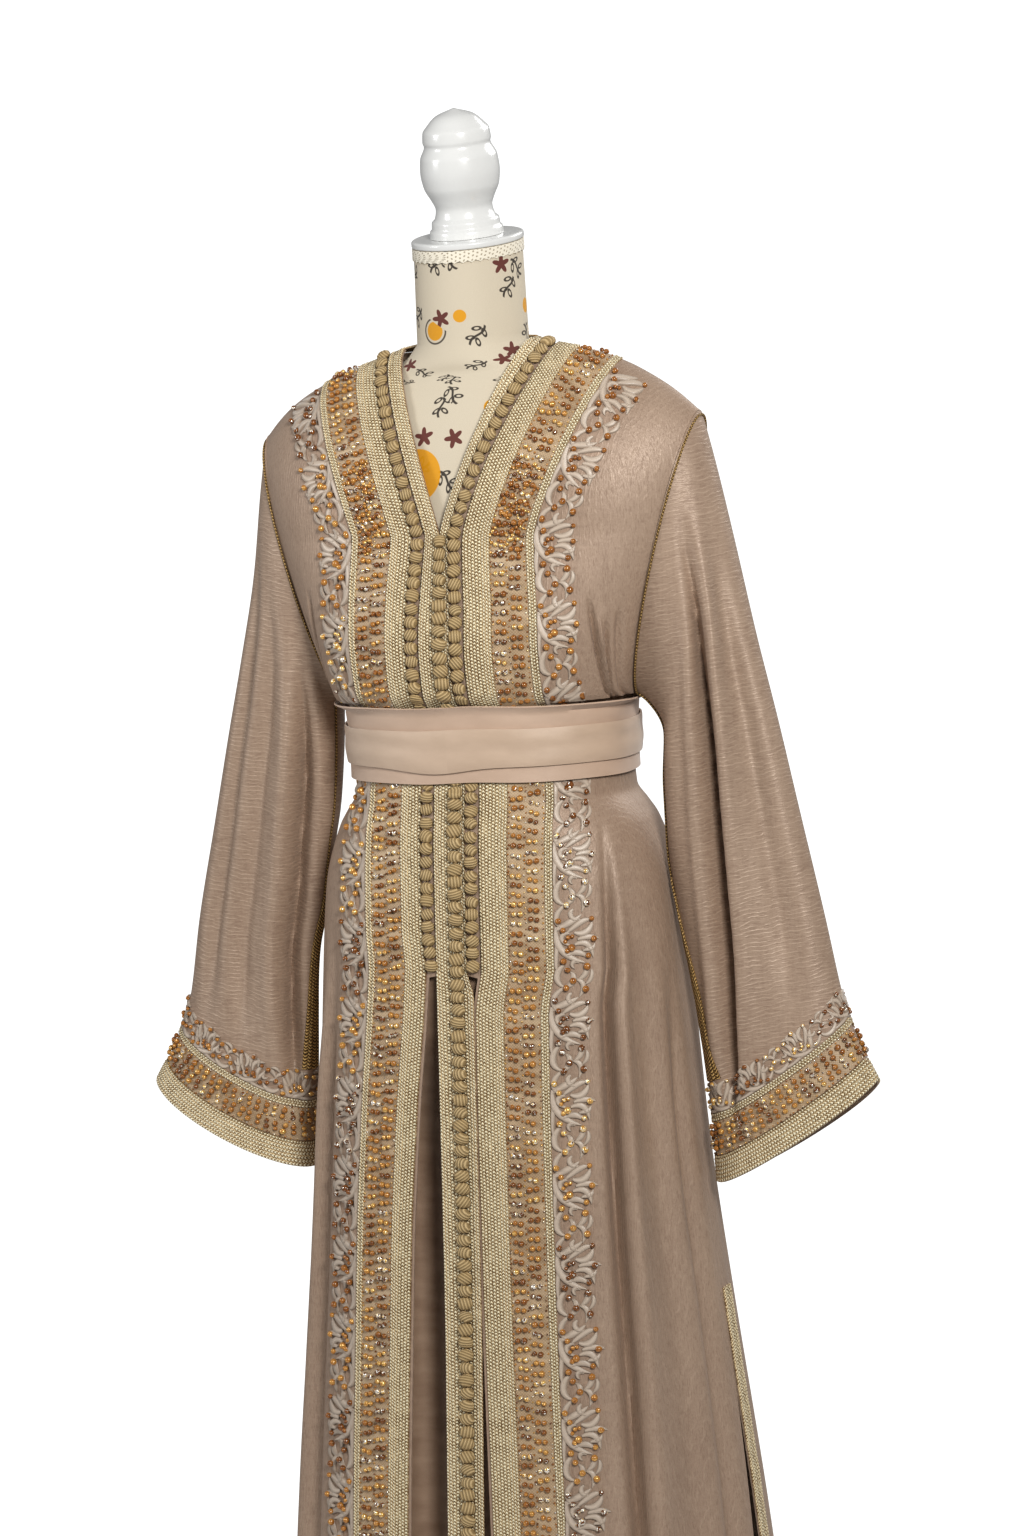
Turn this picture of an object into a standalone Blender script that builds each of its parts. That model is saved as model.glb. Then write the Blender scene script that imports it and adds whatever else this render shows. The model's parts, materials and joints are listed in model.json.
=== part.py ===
"""Moroccan kaftan on a dress form: a long open coat of satin with woven braid (sfifa), knotted
buttons (aakad), bead bands and corded borders, tied with a folded satin belt.

The tables are in millimetres, with the floor at z = 0, the front towards -Y and the wearer's left
at +X. Meshes are written in metres. Every cloth piece is a thin wall: a grid of outer points with
a normal at each, and the same grid moved inwards by the cloth's thickness. Trims are strips of
the grid of the panel they are sewn to, moved outwards.
"""
import math
from collections import namedtuple

import bpy
import numpy as np

MM = 0.001
SEAM = 0.3              # clear gap between neighbouring pieces
HALF_SEAM = SEAM / 2
ARMHOLE_GAP = 0.2       # each side of the armhole seam, which meets at an angle
CLOTH = 1.6             # lined satin
LAYER_CLOTH = 1.4       # inner skirt layer
SHARP_ANGLE = math.radians(35)

# ---- the body of the garment --------------------------------------------------------------
Section = namedtuple("Section", "z side front back")
BODY = (
    Section(25, 264, 190, 208),
    Section(254, 244, 170, 190),
    Section(500, 217, 146, 165),
    Section(610, 206, 138, 155),
    Section(720, 198, 131, 148),
    Section(812, 191, 125, 142),
    Section(912, 181, 118, 135),
    Section(970, 166, 114, 128),
    Section(985, 158, 111, 120),
    Section(1003, 142, 107, 109),
    Section(1046, 140, 106, 107),
    Section(1090, 143, 109, 109),
    Section(1106, 160, 120, 117),
    Section(1150, 175, 125, 122),
    Section(1205, 199, 117, 124),
    Section(1264, 216, 104, 120),
)
RING_POWER = 2.35       # 2 is an ellipse, more is squarer

Armhole = namedtuple("Armhole", "low_x low_z high_x high_z depth")
ARM_LOW = 1097
LEFT_ARMHOLE = Armhole(158, ARM_LOW, 237, 1373, 48)
RIGHT_ARMHOLE = Armhole(158, ARM_LOW, 230, 1362, 48)

CHEST_Z = 1264          # bottom of the V neck: above it the rows turn up to the shoulder
NECK_SIDE, NECK_FORWARD = 67, -15   # the neck points, where the shoulder seams start
LEFT_RIDGE = ((67, 1448), (100, 1443), (138, 1434), (165, 1424), (190, 1410), (214, 1394),
              (237, 1373))
RIGHT_RIDGE = ((67, 1443), (100, 1433), (138, 1421), (165, 1410), (190, 1397), (212, 1381),
               (230, 1362))
NECK_ROUND = 1.6        # how roundly the chest turns over at the neck, and at the armhole
ARM_ROUND = 1.7
NECK_FLARE = 1.12       # curve of the V's edge
NECK_BACK = (75, 1450)  # depth of the back neckline behind the neck points, and its height
NECK_SPREAD = (0.75, 0.62)  # how far the neckline moves back and down as its braid goes outwards
NECK_BACK_ROUND = 1.25

# ---- front edges and slits ----------------------------------------------------------------
SLIT_TOP = 835          # above it the fronts meet, below it they hang apart
Edge = namedtuple("Edge", "z right left")
SLIT_EDGES = (
    Edge(25, 64, 32), Edge(254, 62, 27), Edge(540, 54, 19), Edge(700, 42, 18),
    Edge(790, 32, 18), Edge(812, 27, 17.5),
)
SIDE_SLIT_TOP = 500
SIDE_SLIT_HEM = 30      # how far a front's side edge stands back from the back panel at the hem
SIDE_BRAID_WIDTH = 22

# ---- trims, measured across the panel from its front edge -----------------------------------
BAND_START = 34         # centre front to the wide braid
NECK_BAND_START = 29.8  # the same along the V neck
SLIT_BAND_START = 3     # the same from the slit's edge
INWARD = {"left": 6.0, "right": 0.0}   # how much further in the left front's knots lie
AAKAD_WIDTH = 14
BRAID_WIDTH = 23.3
BEAD_BAND_WIDTH = 36.7
NARROW_WIDTH = 8.2
SCROLL_WIDTH = 39.7
BRAID_HIGH = 2.4
BEAD_BAND_HIGH = 1.6
NARROW_HIGH = 2.0
SCROLL_HIGH = 1.5
CENTRE_KNOTS = (3.5, 12.5)   # the centre column of knots, from right to left of the centre
BUTTON_PITCH = 12
BUTTON_HIGH = 6.0
BUTTON_DIP = 2.0
UNDER_BELT = 0.2        # share of a trim's height left under the belt

# ---- belt --------------------------------------------------------------------------------
BELT_LOW, BELT_MIDDLE, BELT_HIGH = 1018, 1055, 1091
BELT_CLEAR = 3.8
BELT_CLOTH = 1.6
WRAP_LOW, WRAP_HIGH = 1033, 1068
WRAP_CLOTH = 1.8
BELT_COLUMNS = 36
KNOT_LIFT = 0.8         # a knot's foot above what it is sewn to
KNOT_INSET = 0.3

# ---- rows and columns of the panels ---------------------------------------------------------
SKIRT_ROWS = (25, 140, 254, 380, 500, 610, 720, 790, 812, SLIT_TOP, 912, 970, 985, 1003, 1046, 1090)
ARMHOLE_ROWS = (ARM_LOW, 1112, 1150, 1207)
BODY_ROWS = SKIRT_ROWS + ARMHOLE_ROWS
CHEST_ROWS = (0, 0.17, 0.34, 0.51, 0.67, 0.81, 0.93, 1)   # chest to shoulder seam
SIDE_SHARES = (0.13, 0.27, 0.41, 0.55, 0.69, 0.84, 1)   # border to side seam
BACK_SHARES = (0, 0.12, 0.23, 0.35, 0.47, 0.59, 0.71, 0.83, 1)
BACK_NECK_SHARE = 0.35
EDGE_COL, STRIP_COL, AAKAD_COL, BRAID_COL, BAND_COL, NARROW_COL, SCROLL_COL = range(7)

# ---- folds: across is 0 at the border or centre back, 1 at the side seam --------------------
Fold = namedtuple("Fold", "across_low across_high low high width depth")
FOLD_FADE = 0.25        # share of a fold's height over which its top dies away
LEFT_FOLDS = (
    Fold(0.20, 0.10, 25, 960, 0.11, -12),
    Fold(0.48, 0.34, 25, 900, 0.12, -10),
    Fold(0.78, 0.66, 25, 860, 0.11, -12),
    Fold(0.34, 0.22, 25, 900, 0.10, 8),
    Fold(0.50, 0.34, 1104, 1230, 0.10, -5),
    Fold(0.74, 0.60, 1104, 1190, 0.10, -4),
)
RIGHT_FOLDS = (
    Fold(0.26, 0.16, 25, 900, 0.12, -10),
    Fold(0.62, 0.46, 25, 960, 0.12, -12),
    Fold(0.44, 0.32, 25, 860, 0.10, 8),
    Fold(0.46, 0.34, 1104, 1210, 0.11, -4),
)
BACK_FOLDS = (
    Fold(0.00, 0.00, 25, 985, 0.10, -14),
    Fold(0.30, 0.24, 25, 960, 0.10, -13),
    Fold(0.60, 0.52, 25, 930, 0.10, -14),
    Fold(0.84, 0.80, 25, 860, 0.08, -9),
    Fold(0.15, 0.12, 25, 940, 0.09, 8),
    Fold(0.45, 0.38, 25, 900, 0.09, 9),
    Fold(0.20, 0.16, 1104, 1240, 0.10, -5),
    Fold(0.50, 0.42, 1104, 1220, 0.10, -5),
)
LAYER_FOLDS = (
    Fold(-0.62, -0.62, 30, 800, 0.18, -9),
    Fold(-0.22, -0.24, 30, 820, 0.16, 9),
    Fold(0.18, 0.20, 30, 800, 0.18, -10),
    Fold(0.60, 0.56, 30, 780, 0.18, 8),
)

# ---- sleeves: upper (outer) and lower (inner) edge of each section, and half its depth --------
Cut = namedtuple("Cut", "out_x out_z in_x in_z half")
LEFT_SLEEVE = (
    Cut(237, 1373, 158, ARM_LOW, 48),
    Cut(249, 1322, 172, 1087, 47),
    Cut(266, 1240, 188, 1056, 45),
    Cut(284, 1152, 184, 1002, 41),
    Cut(302, 1072, 184, 945, 38),
    Cut(322, 975, 193, 868, 35),
    Cut(342, 878, 204, 800, 33),
    Cut(358, 795, 214, 715, 34),
    Cut(370, 756, 218, 665, 36),
    Cut(390, 714, 220, 612, 39),
)
RIGHT_SLEEVE = (
    Cut(230, 1362, 158, ARM_LOW, 48),
    Cut(239, 1310, 168, 1086, 47),
    Cut(252, 1228, 170, 1046, 45),
    Cut(273, 1140, 176, 985, 41),
    Cut(293, 1062, 184, 945, 38),
    Cut(316, 968, 195, 885, 35),
    Cut(340, 870, 209, 826, 33),
    Cut(357, 784, 216, 728, 34),
    Cut(374, 742, 219, 676, 36),
    Cut(400, 699, 220, 614, 39),
)
CUFF_SAG = 14           # how far the cuff's edge hangs down between its two corners
SLEEVE_SHARES = (0, 0.045, 0.13, 0.23, 0.34, 0.46, 0.58, 0.70, 0.82, 0.92)
CUFF_BRAID, CUFF_BAND, CUFF_NARROW, CUFF_SCROLL = 27, 34, 8, 32
CUFF_GAP = 0.25         # each trim stands back this far from its neighbour's edge
SEAM_BRAID_SHARE = 0.5  # the under-seam's braid starts this far down the sleeve
# turn is degrees round the section, from the under-seam up over the front to the shoulder line
SleeveFold = namedtuple("SleeveFold", "turn_top turn_cuff top cuff width depth")
SLEEVE_FOLDS = (
    SleeveFold(52, 78, 0.05, 0.90, 15, -13),
    SleeveFold(96, 122, 0.08, 0.86, 14, -9),
    SleeveFold(74, 98, 0.10, 0.88, 13, 8),
    SleeveFold(-60, -80, 0.06, 0.90, 15, -12),
    SleeveFold(-100, -124, 0.10, 0.86, 14, -9),
)

# Each half of the garment is worked out at +X; the wearer's right is then mirrored.
Half = namedtuple("Half", "name ridge armhole folds sleeve")
LEFT = Half("left", LEFT_RIDGE, LEFT_ARMHOLE, LEFT_FOLDS, LEFT_SLEEVE)
RIGHT = Half("right", RIGHT_RIDGE, RIGHT_ARMHOLE, RIGHT_FOLDS, RIGHT_SLEEVE)

# ---- inner skirt layer -------------------------------------------------------------------
Inset = namedtuple("Inset", "z behind")
LAYER_INSETS = (
    Inset(32, 34), Inset(254, 34), Inset(500, 34), Inset(610, 33), Inset(720, 26),
    Inset(790, 15), Inset(SLIT_TOP, 8), Inset(870, 3.5), Inset(900, CLOTH + SEAM),
)

# ---- dress form --------------------------------------------------------------------------
Ring = namedtuple("Ring", "z side front back middle power")
TORSO = (
    Ring(800, 136, 94, 98, 0, 2.2),
    Ring(850, 152, 104, 112, 0, 2.2),
    Ring(940, 146, 98, 110, 0, 2.2),
    Ring(1010, 126, 92, 96, 0, 2.2),
    Ring(1050, 121, 90, 92, 0, 2.2),
    Ring(1110, 128, 103, 100, 0, 2.2),
    Ring(1170, 142, 113, 109, 0, 2.2),
    Ring(1230, 156, 105, 113, 0, 2.2),
    Ring(1290, 172, 94, 109, 0, 2.2),
    Ring(1345, 184, 82, 94, 0, 2.1),
    Ring(1375, 188, 73, 78, 0, 2.0),
    Ring(1390, 186, 65, 69, -1, 1.9),
    Ring(1402, 180, 58, 59, -2, 1.9),
    Ring(1412, 160, 50, 51, -4, 1.9),
    Ring(1420, 112, 47, 51, -5, 1.9),
    Ring(1428, 86, 50, 54, -4, 1.95),
    Ring(1437, 66, 52, 53, -2, 2.0),
    Ring(1448, 56, 53, 54, 0, 2.0),
)
TORSO_COLUMNS = 22
TORSO_TIP = 188
RIGHT_SHOULDER_DROP = 13
NECK_TOP = 1546
NECK_RADIUS = 54
NECK_TILT = math.radians(8)   # the neck's top and the finial on it lean forwards
LACE_HIGH = 12
LACE_THICK = 1.2
CAP_RADIUS, CAP_THICK = 56, 7
Turn = namedtuple("Turn", "up radius")
FINIAL = (
    Turn(0, 37), Turn(7, 36), Turn(8, 34.4), Turn(16, 33.4), Turn(18, 30.5),
    Turn(28, 28.2), Turn(36, 31), Turn(50, 37.5), Turn(64, 39.4), Turn(78, 38.2),
    Turn(91, 33), Turn(94, 34), Turn(104, 33), Turn(110, 28.5), Turn(119, 19), Turn(126, 0),
)
POLE_RADIUS = 14
BASE_RADIUS, BASE_THICK, BASE_EDGE = 165, 22, 4

# ---- colours -----------------------------------------------------------------------------
Look = namedtuple("Look", "red green blue rough metal")
SATIN = Look(0.31, 0.22, 0.17, 0.45, 0)
LAYER_SATIN = Look(0.20, 0.13, 0.09, 0.5, 0)
BELT_SATIN = Look(0.43, 0.30, 0.24, 0.4, 0)
BRAID = Look(0.55, 0.43, 0.21, 0.5, 0.3)
KNOTS = Look(0.40, 0.31, 0.15, 0.55, 0.2)
BEADING = Look(0.36, 0.19, 0.08, 0.35, 0.2)
CORDING = Look(0.60, 0.50, 0.42, 0.5, 0)
COTTON = Look(0.85, 0.78, 0.62, 0.8, 0)
LACE = Look(0.88, 0.84, 0.72, 0.8, 0)
PAINT = Look(0.88, 0.88, 0.88, 0.3, 0)


def clear_scene():
    for old in list(bpy.data.objects):
        bpy.data.objects.remove(old)


def unit(vectors):
    return vectors / np.linalg.norm(vectors, axis=-1, keepdims=True)


def outward(vectors, away):
    """Unit vectors, all turned round together if they point against the way out."""
    vectors = unit(vectors)
    if (vectors * away).sum() < 0:
        return -vectors
    return vectors


def tube_normals(points, away):
    """Outward normals of a grid whose last column meets its first."""
    around = np.roll(points, -1, axis=1) - np.roll(points, 1, axis=1)
    return outward(np.cross(around, np.gradient(points, axis=0)), away)


def ease(low, high, value):
    """0 below low, 1 above high, smooth between."""
    t = np.clip((value - low) / (high - low), 0, 1)
    return t * t * (3 - 2 * t)


def read(table, column, where):
    """A table's column at a height, on a smooth curve that doesn't overshoot its rows."""
    at = np.array([row[0] for row in table], float)
    values = np.array([getattr(row, column) for row in table], float)
    slopes = np.diff(values) / np.diff(at)
    before, after = slopes[:-1], slopes[1:]
    joint = np.where(before * after > 0, before * after, 0)
    inner = 2 * joint / np.where(joint > 0, before + after, 1)
    tangents = np.concatenate([slopes[:1], inner, slopes[-1:]])
    k = int(np.clip(np.searchsorted(at, where) - 1, 0, len(at) - 2))
    step = at[k + 1] - at[k]
    t = min(max((where - at[k]) / step, 0), 1)
    return (values[k] * (1 + 2 * t) * (1 - t) ** 2 + values[k + 1] * t * t * (3 - 2 * t)
            + step * tangents[k] * t * (1 - t) ** 2 + step * tangents[k + 1] * t * t * (t - 1))


def along(line, distances):
    """Points of a polyline at these distances from its start."""
    steps = np.linalg.norm(np.diff(line, axis=0), axis=1)
    run = np.concatenate([[0], np.cumsum(steps)])
    return np.stack([np.interp(distances, run, line[:, axis]) for axis in range(3)], axis=-1)


def length(line):
    return float(np.linalg.norm(np.diff(line, axis=0), axis=1).sum())


# ---- the body's surface, for x >= 0; face is -1 at the front and 1 at the back ---------------
def armhole_point(half, z, face):
    hole = half.armhole
    share = (z - hole.low_z) / (hole.high_z - hole.low_z)
    x = hole.low_x + share * (hole.high_x - hole.low_x)
    depth = hole.depth * math.sqrt(max(0, 1 - (2 * share - 1) ** 2))
    return np.array([x, face * depth, z])


def body_row(half, z, face, samples=241):
    """One level section, from the centre to the side, or to the armhole where there is one."""
    depth = read(BODY, "front" if face < 0 else "back", z)
    side = read(BODY, "side", z)
    if z > ARM_LOW:
        end = armhole_point(half, z, face)
        share = abs(end[1]) / depth
        side = end[0] / (1 - share ** RING_POWER) ** (1 / RING_POWER)
    turns = np.linspace(0, math.pi / 2, samples)
    power = 2 / RING_POWER
    line = np.stack([side * np.sin(turns) ** power, face * depth * np.cos(turns) ** power,
                     np.full(samples, float(z))], axis=1)
    if z > ARM_LOW:
        line = np.vstack([line[line[:, 0] < end[0] - 0.01], end])
    return line


def ridge_line(half):
    """The shoulder seam from the neck point to the armhole, in one upright plane."""
    xs = np.array([row[0] for row in half.ridge], float)
    zs = np.array([row[1] for row in half.ridge], float)
    fine = np.linspace(xs[0], xs[-1], 121)
    ys = NECK_FORWARD * (xs[-1] - fine) / (xs[-1] - xs[0])
    heights = np.interp(fine, xs, zs)
    smoothed = np.convolve(np.pad(heights, 8, mode="reflect", reflect_type="odd"),
                           np.full(17, 1 / 17), mode="valid")
    return np.stack([fine, ys, smoothed], axis=1)


def back_neck_line(half, outwards):
    """The back neckline from the centre to the shoulder seam, moved this far out from the neck."""
    turns = np.linspace(math.pi / 2, 0, 41)
    seam_end = along(ridge_line(half), [outwards])[0]
    deep, high = NECK_BACK
    centre_y = NECK_FORWARD + deep + outwards * NECK_SPREAD[0]
    centre_z = high - outwards * NECK_SPREAD[1]
    x = seam_end[0] * np.cos(turns)
    y = seam_end[1] + (centre_y - seam_end[1]) * np.sin(turns)
    z = seam_end[2] + (centre_z - seam_end[2]) * np.sin(turns)
    return np.stack([x, y, z], axis=1)


def turned_over(base, top, rise, rounding, flare):
    """A point on the way from the chest row to the shoulder: level rise, round in depth."""
    point = base + (top - base) * rise
    point[..., 0] = base[..., 0] + (top[..., 0] - base[..., 0]) * rise ** flare
    swing = (1 - rise ** rounding) ** (1 / rounding)
    point[..., 1] = top[..., 1] + (base[..., 1] - top[..., 1]) * swing
    return point


def front_chest_row(half, rise, samples=241):
    share = np.linspace(0, 1, samples)
    base_line, top_line = body_row(half, CHEST_Z, -1), ridge_line(half)
    base = along(base_line, share * length(base_line))
    top = along(top_line, share * length(top_line))
    rounding = NECK_ROUND + (ARM_ROUND - NECK_ROUND) * share
    flare = NECK_FLARE + (1 - NECK_FLARE) * ease(0, 0.6, share)
    row = turned_over(base, top, rise, rounding, flare)
    row[-1] = armhole_point(half, CHEST_Z + (half.armhole.high_z - CHEST_Z) * rise, -1)
    return row


def back_chest_row(half, rise):
    """The back's row, at its own shares, with the neck's share ending at the shoulder seam."""
    share = np.array(BACK_SHARES)
    base_line = body_row(half, CHEST_Z, 1)
    base = along(base_line, share * length(base_line))
    neck = back_neck_line(half, neck_braid_width() + SEAM)
    seam = ridge_line(half)
    seam = np.vstack([neck[-1], seam[seam[:, 0] > neck[-1, 0] + 0.01]])
    in_neck = share <= BACK_NECK_SHARE
    over = (share - BACK_NECK_SHARE) / (1 - BACK_NECK_SHARE)
    top = np.where(in_neck[:, None], along(neck, share / BACK_NECK_SHARE * length(neck)),
                   along(seam, np.clip(over, 0, 1) * length(seam)))
    sideways = ease(0, BACK_NECK_SHARE * 1.3, share)
    rounding = NECK_BACK_ROUND + (ARM_ROUND - NECK_BACK_ROUND) * sideways
    row = turned_over(base, top, rise, rounding, np.ones_like(share))
    row[-1] = armhole_point(half, CHEST_Z + (half.armhole.high_z - CHEST_Z) * rise, 1)
    return row


def neck_braid_width():
    return NECK_BAND_START - AAKAD_WIDTH - SEAM


# ---- panels --------------------------------------------------------------------------------
class Panel:
    """A grid of outer points, rows upwards, with an outward normal at each."""

    def __init__(self, points, normals=None):
        self.points = points
        if normals is None:
            across = np.gradient(points, axis=1)
            up = np.gradient(points, axis=0)
            normals = outward(np.cross(across, up), points * (1, 1, 0))
        self.normals = normals

    def mirrored(self):
        flip = np.array([-1, 1, 1])
        return Panel(self.points * flip, self.normals * flip)

    def strip(self, rows, first, last):
        """Points and normals of columns first to last, the outer ones half a seam inside."""
        points = self.points[rows, first:last + 1].copy()
        normals = self.normals[rows, first:last + 1]
        points[:, 0] += unit(points[:, 1] - points[:, 0]) * HALF_SEAM
        points[:, -1] += unit(points[:, -2] - points[:, -1]) * HALF_SEAM
        return points, normals


def folded(points, normals, shares, heights, folds):
    """Moves the points level, in or out, by every fold's trough (minus) or ridge (plus)."""
    moved = np.zeros(points.shape[:2])
    for fold in folds:
        rise = np.clip((heights - fold.low) / (fold.high - fold.low), 0, 1)
        centre = fold.across_low + (fold.across_high - fold.across_low) * rise
        fade = 1 - ease(fold.high - FOLD_FADE * (fold.high - fold.low), fold.high, heights)
        if fold.low > BELT_HIGH:
            fade = fade * ease(fold.low - 12, fold.low + 6, heights)
        moved += fold.depth * fade * np.exp(-((shares - centre) / fold.width) ** 2)
    return points + unit(normals * (1, 1, 0)) * moved[..., None]


def band_start(z):
    return BAND_START if z < CHEST_Z else NECK_BAND_START


def inward(half, z):
    """How far the inner trims lie towards the centre; it dies away up the V neck."""
    return INWARD[half.name] * (1 - ease(0.3, 1, z - CHEST_Z))


def trim_distances(start, further=0.0):
    ends = (-AAKAD_WIDTH - HALF_SEAM - further, -HALF_SEAM - further, BRAID_WIDTH)
    ends += (BRAID_WIDTH + BEAD_BAND_WIDTH,)
    ends += (ends[-1] + NARROW_WIDTH, ends[-1] + NARROW_WIDTH + SCROLL_WIDTH)
    return [start + end for end in ends]


def front_columns(half, line, z):
    """Distances along a row: the edge, each trim's end, then shares of the way to the side."""
    further = inward(half, z)
    if z < SLIT_TOP:
        edge = read(SLIT_EDGES, half.name, z)
        ends = trim_distances(edge + SLIT_BAND_START + further, further)
        ends[0] = edge + 1
    else:
        edge = HALF_SEAM if z <= CHEST_Z else 0
        ends = trim_distances(band_start(z), further)
    gap = HALF_SEAM + SIDE_SLIT_HEM * ease(0, SIDE_SLIT_TOP, SIDE_SLIT_TOP - z)
    side = length(line) - gap
    return [edge] + ends + [ends[-1] + (side - ends[-1]) * share for share in SIDE_SHARES]


def front_panel(half):
    lines = [(z, body_row(half, z, -1)) for z in BODY_ROWS]
    lines += [(CHEST_Z + rise, front_chest_row(half, rise)) for rise in CHEST_ROWS]
    rows = [along(line, front_columns(half, line, z)) for z, line in lines]
    panel = Panel(np.array(rows))
    reach = np.zeros(panel.points.shape[:2])
    reach[:, SCROLL_COL + 1:] = SIDE_SHARES
    reach[:, :SCROLL_COL] = -1
    heights = panel.points[..., 2]
    loose = ease(-0.02, 0.12, reach) * (1 - 0.6 * ease(0.85, 1, reach))
    shape = folded(panel.points, panel.normals, reach, heights, half.folds)
    shape = panel.points + (shape - panel.points) * loose[..., None]
    return seamed(half, Panel(shape), -1)


def back_panel(half):
    shares = np.array(BACK_SHARES)
    rows = []
    for z in BODY_ROWS:
        line = body_row(half, z, 1)
        rows.append(along(line, shares * (length(line) - HALF_SEAM)))
    rows += [back_chest_row(half, rise) for rise in CHEST_ROWS]
    panel = Panel(np.array(rows))
    reach = np.broadcast_to(shares, panel.points.shape[:2])
    loose = 1 - 0.7 * ease(0.85, 1, reach)
    shape = folded(panel.points, panel.normals, reach, panel.points[..., 2], BACK_FOLDS)
    return seamed(half, Panel(panel.points + (shape - panel.points) * loose[..., None]), 1)


def shoulder_way(half):
    """The level direction of the shoulder seam, from the neck outwards."""
    return unit(np.array([half.ridge[-1][0] - NECK_SIDE, -NECK_FORWARD, 0.0]))


def seamed(half, panel, face):
    """Turns the normals at the edges into the plane of each seam, so that the walls meet there."""
    below_arm = len(SKIRT_ROWS) + 1
    closed = slice(SKIRT_ROWS.index(SLIT_TOP), len(BODY_ROWS))
    panel.normals[closed, 0, 0] = 0
    panel.normals[:below_arm, -1, 1] = 0
    seam_way = shoulder_way(half)
    top = panel.points[-1]
    run = unit(np.gradient(top, axis=0))
    upright = np.stack([-run[:, 2] * seam_way[0], -run[:, 2] * seam_way[1],
                        np.hypot(run[:, 0], run[:, 1])], axis=1)
    on_seam = top[:, 0] >= NECK_SIDE - 1
    panel.normals[-1, on_seam] = upright[on_seam]
    across = np.array([-seam_way[1], seam_way[0], 0]) * HALF_SEAM * face
    panel.points[-1, on_seam] += across
    panel.normals = unit(panel.normals)
    return panel


def joined_halves(left, right):
    """The whole back from its two halves, both built at +X."""
    twin = right.mirrored()
    left.normals[:, 0, 0] = 0
    points = np.concatenate([twin.points[:, :0:-1], left.points], axis=1)
    normals = np.concatenate([twin.normals[:, :0:-1], left.normals], axis=1)
    return Panel(points, unit(normals))


# ---- sleeves -------------------------------------------------------------------------------
def armhole_turns(half, front, back):
    """The armhole's vertices, shared by both panels and the sleeve, as turns of its section."""
    first = len(SKIRT_ROWS)
    turns = []
    for panel, sign in ((front, 1), (back, -1)):
        heights = panel.points[first:, -1, 2]
        share = (heights - half.armhole.low_z) / (half.armhole.high_z - half.armhole.low_z)
        turns.append(sign * np.degrees(np.arccos(np.clip(1 - 2 * share, -1, 1))))
    return np.concatenate([turns[0], turns[1][-2:0:-1]])


def sleeve_lines(cuts, turns, samples=90):
    """One line along the sleeve for every vertex of the armhole, from the armhole to the cuff."""
    knots = np.linspace(0, 1, len(cuts))
    Step = namedtuple("Step", ("t",) + Cut._fields)
    table = [Step(knot, *cut) for knot, cut in zip(knots, cuts)]
    lines = []
    for t in np.linspace(0, 1, samples):
        high = np.array([read(table, "out_x", t), 0, read(table, "out_z", t)])
        low = np.array([read(table, "in_x", t), 0, read(table, "in_z", t)])
        half = read(table, "half", t)
        angle = np.radians(turns)[:, None]
        ring = (high + low) / 2 - np.cos(angle) * (high - low) / 2
        sag = CUFF_SAG * ease(0.75, 1, t)
        ring = ring + np.sin(angle) * np.array([0, -half, 0])
        ring = ring - np.abs(np.sin(angle)) * np.array([0, 0, sag])
        lines.append(ring)
    return np.array(lines).transpose(1, 0, 2)


def sleeve_panel(cuts, turns):
    cuff_rows = np.cumsum([0, CUFF_BRAID, CUFF_BAND, CUFF_NARROW, CUFF_SCROLL])[::-1]
    columns = []
    for line in sleeve_lines(cuts, turns):
        whole = length(line)
        free = whole - cuff_rows[0]
        columns.append(along(line, [free * share for share in SLEEVE_SHARES]
                             + [whole - up for up in cuff_rows]))
    points = np.array(columns).transpose(1, 0, 2)
    axis = points.mean(axis=1, keepdims=True)
    normals = tube_normals(points, points - axis)
    share = np.linspace(0, 1, len(points))[:, None]
    moved = np.zeros(points.shape[:2])
    for fold in SLEEVE_FOLDS:
        centre = fold.turn_top + (fold.turn_cuff - fold.turn_top) * share
        fade = ease(fold.top, fold.top + 0.25, share) * (1 - ease(fold.cuff - 0.2, fold.cuff, share))
        moved += fold.depth * fade * np.exp(-((turns[None, :] - centre) / fold.width) ** 2)
    points = points + normals * moved[..., None]
    return Panel(points, tube_normals(points, points - axis))


def share_armhole(front, back, sleeve):
    """Gives both panels and the sleeve one normal at each armhole vertex, and parts them there."""
    first = len(SKIRT_ROWS)
    high = len(front.points) - first
    body = np.concatenate([front.normals[first:, -1], back.normals[first:, -1][-2:0:-1]])
    body[0] = unit(front.normals[first, -1] + back.normals[first, -1])
    body[high - 1] = unit(front.normals[-1, -1] + back.normals[-1, -1])
    shared = unit(body + sleeve.normals[0])
    front.normals[first:, -1] = shared[:high]
    back.normals[first:, -1] = np.concatenate([shared[:1], shared[high:][::-1], shared[high - 1:high]])
    for panel in (front, back):
        inwards = unit(panel.points[first:, -2] - panel.points[first:, -1])
        panel.points[first:, -1] += inwards * ARMHOLE_GAP
        panel.normals[first, -1, 1] = 0
        panel.normals[first] = unit(panel.normals[first])
    sleeve.normals[0] = shared
    sleeve.points[0] += unit(sleeve.points[1] - sleeve.points[0]) * ARMHOLE_GAP


# ---- meshes --------------------------------------------------------------------------------
def grid_faces(rows, columns, closed, start):
    """Triangles cut the same way in every grid, so that a trim lies flat on its panel."""
    faces = []
    for row in range(rows - 1):
        for column in range(columns if closed else columns - 1):
            right = (column + 1) % columns
            low, high = start + row * columns, start + (row + 1) * columns
            faces.append([low + column, low + right, high + right])
            faces.append([low + column, high + right, high + column])
    return faces


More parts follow.
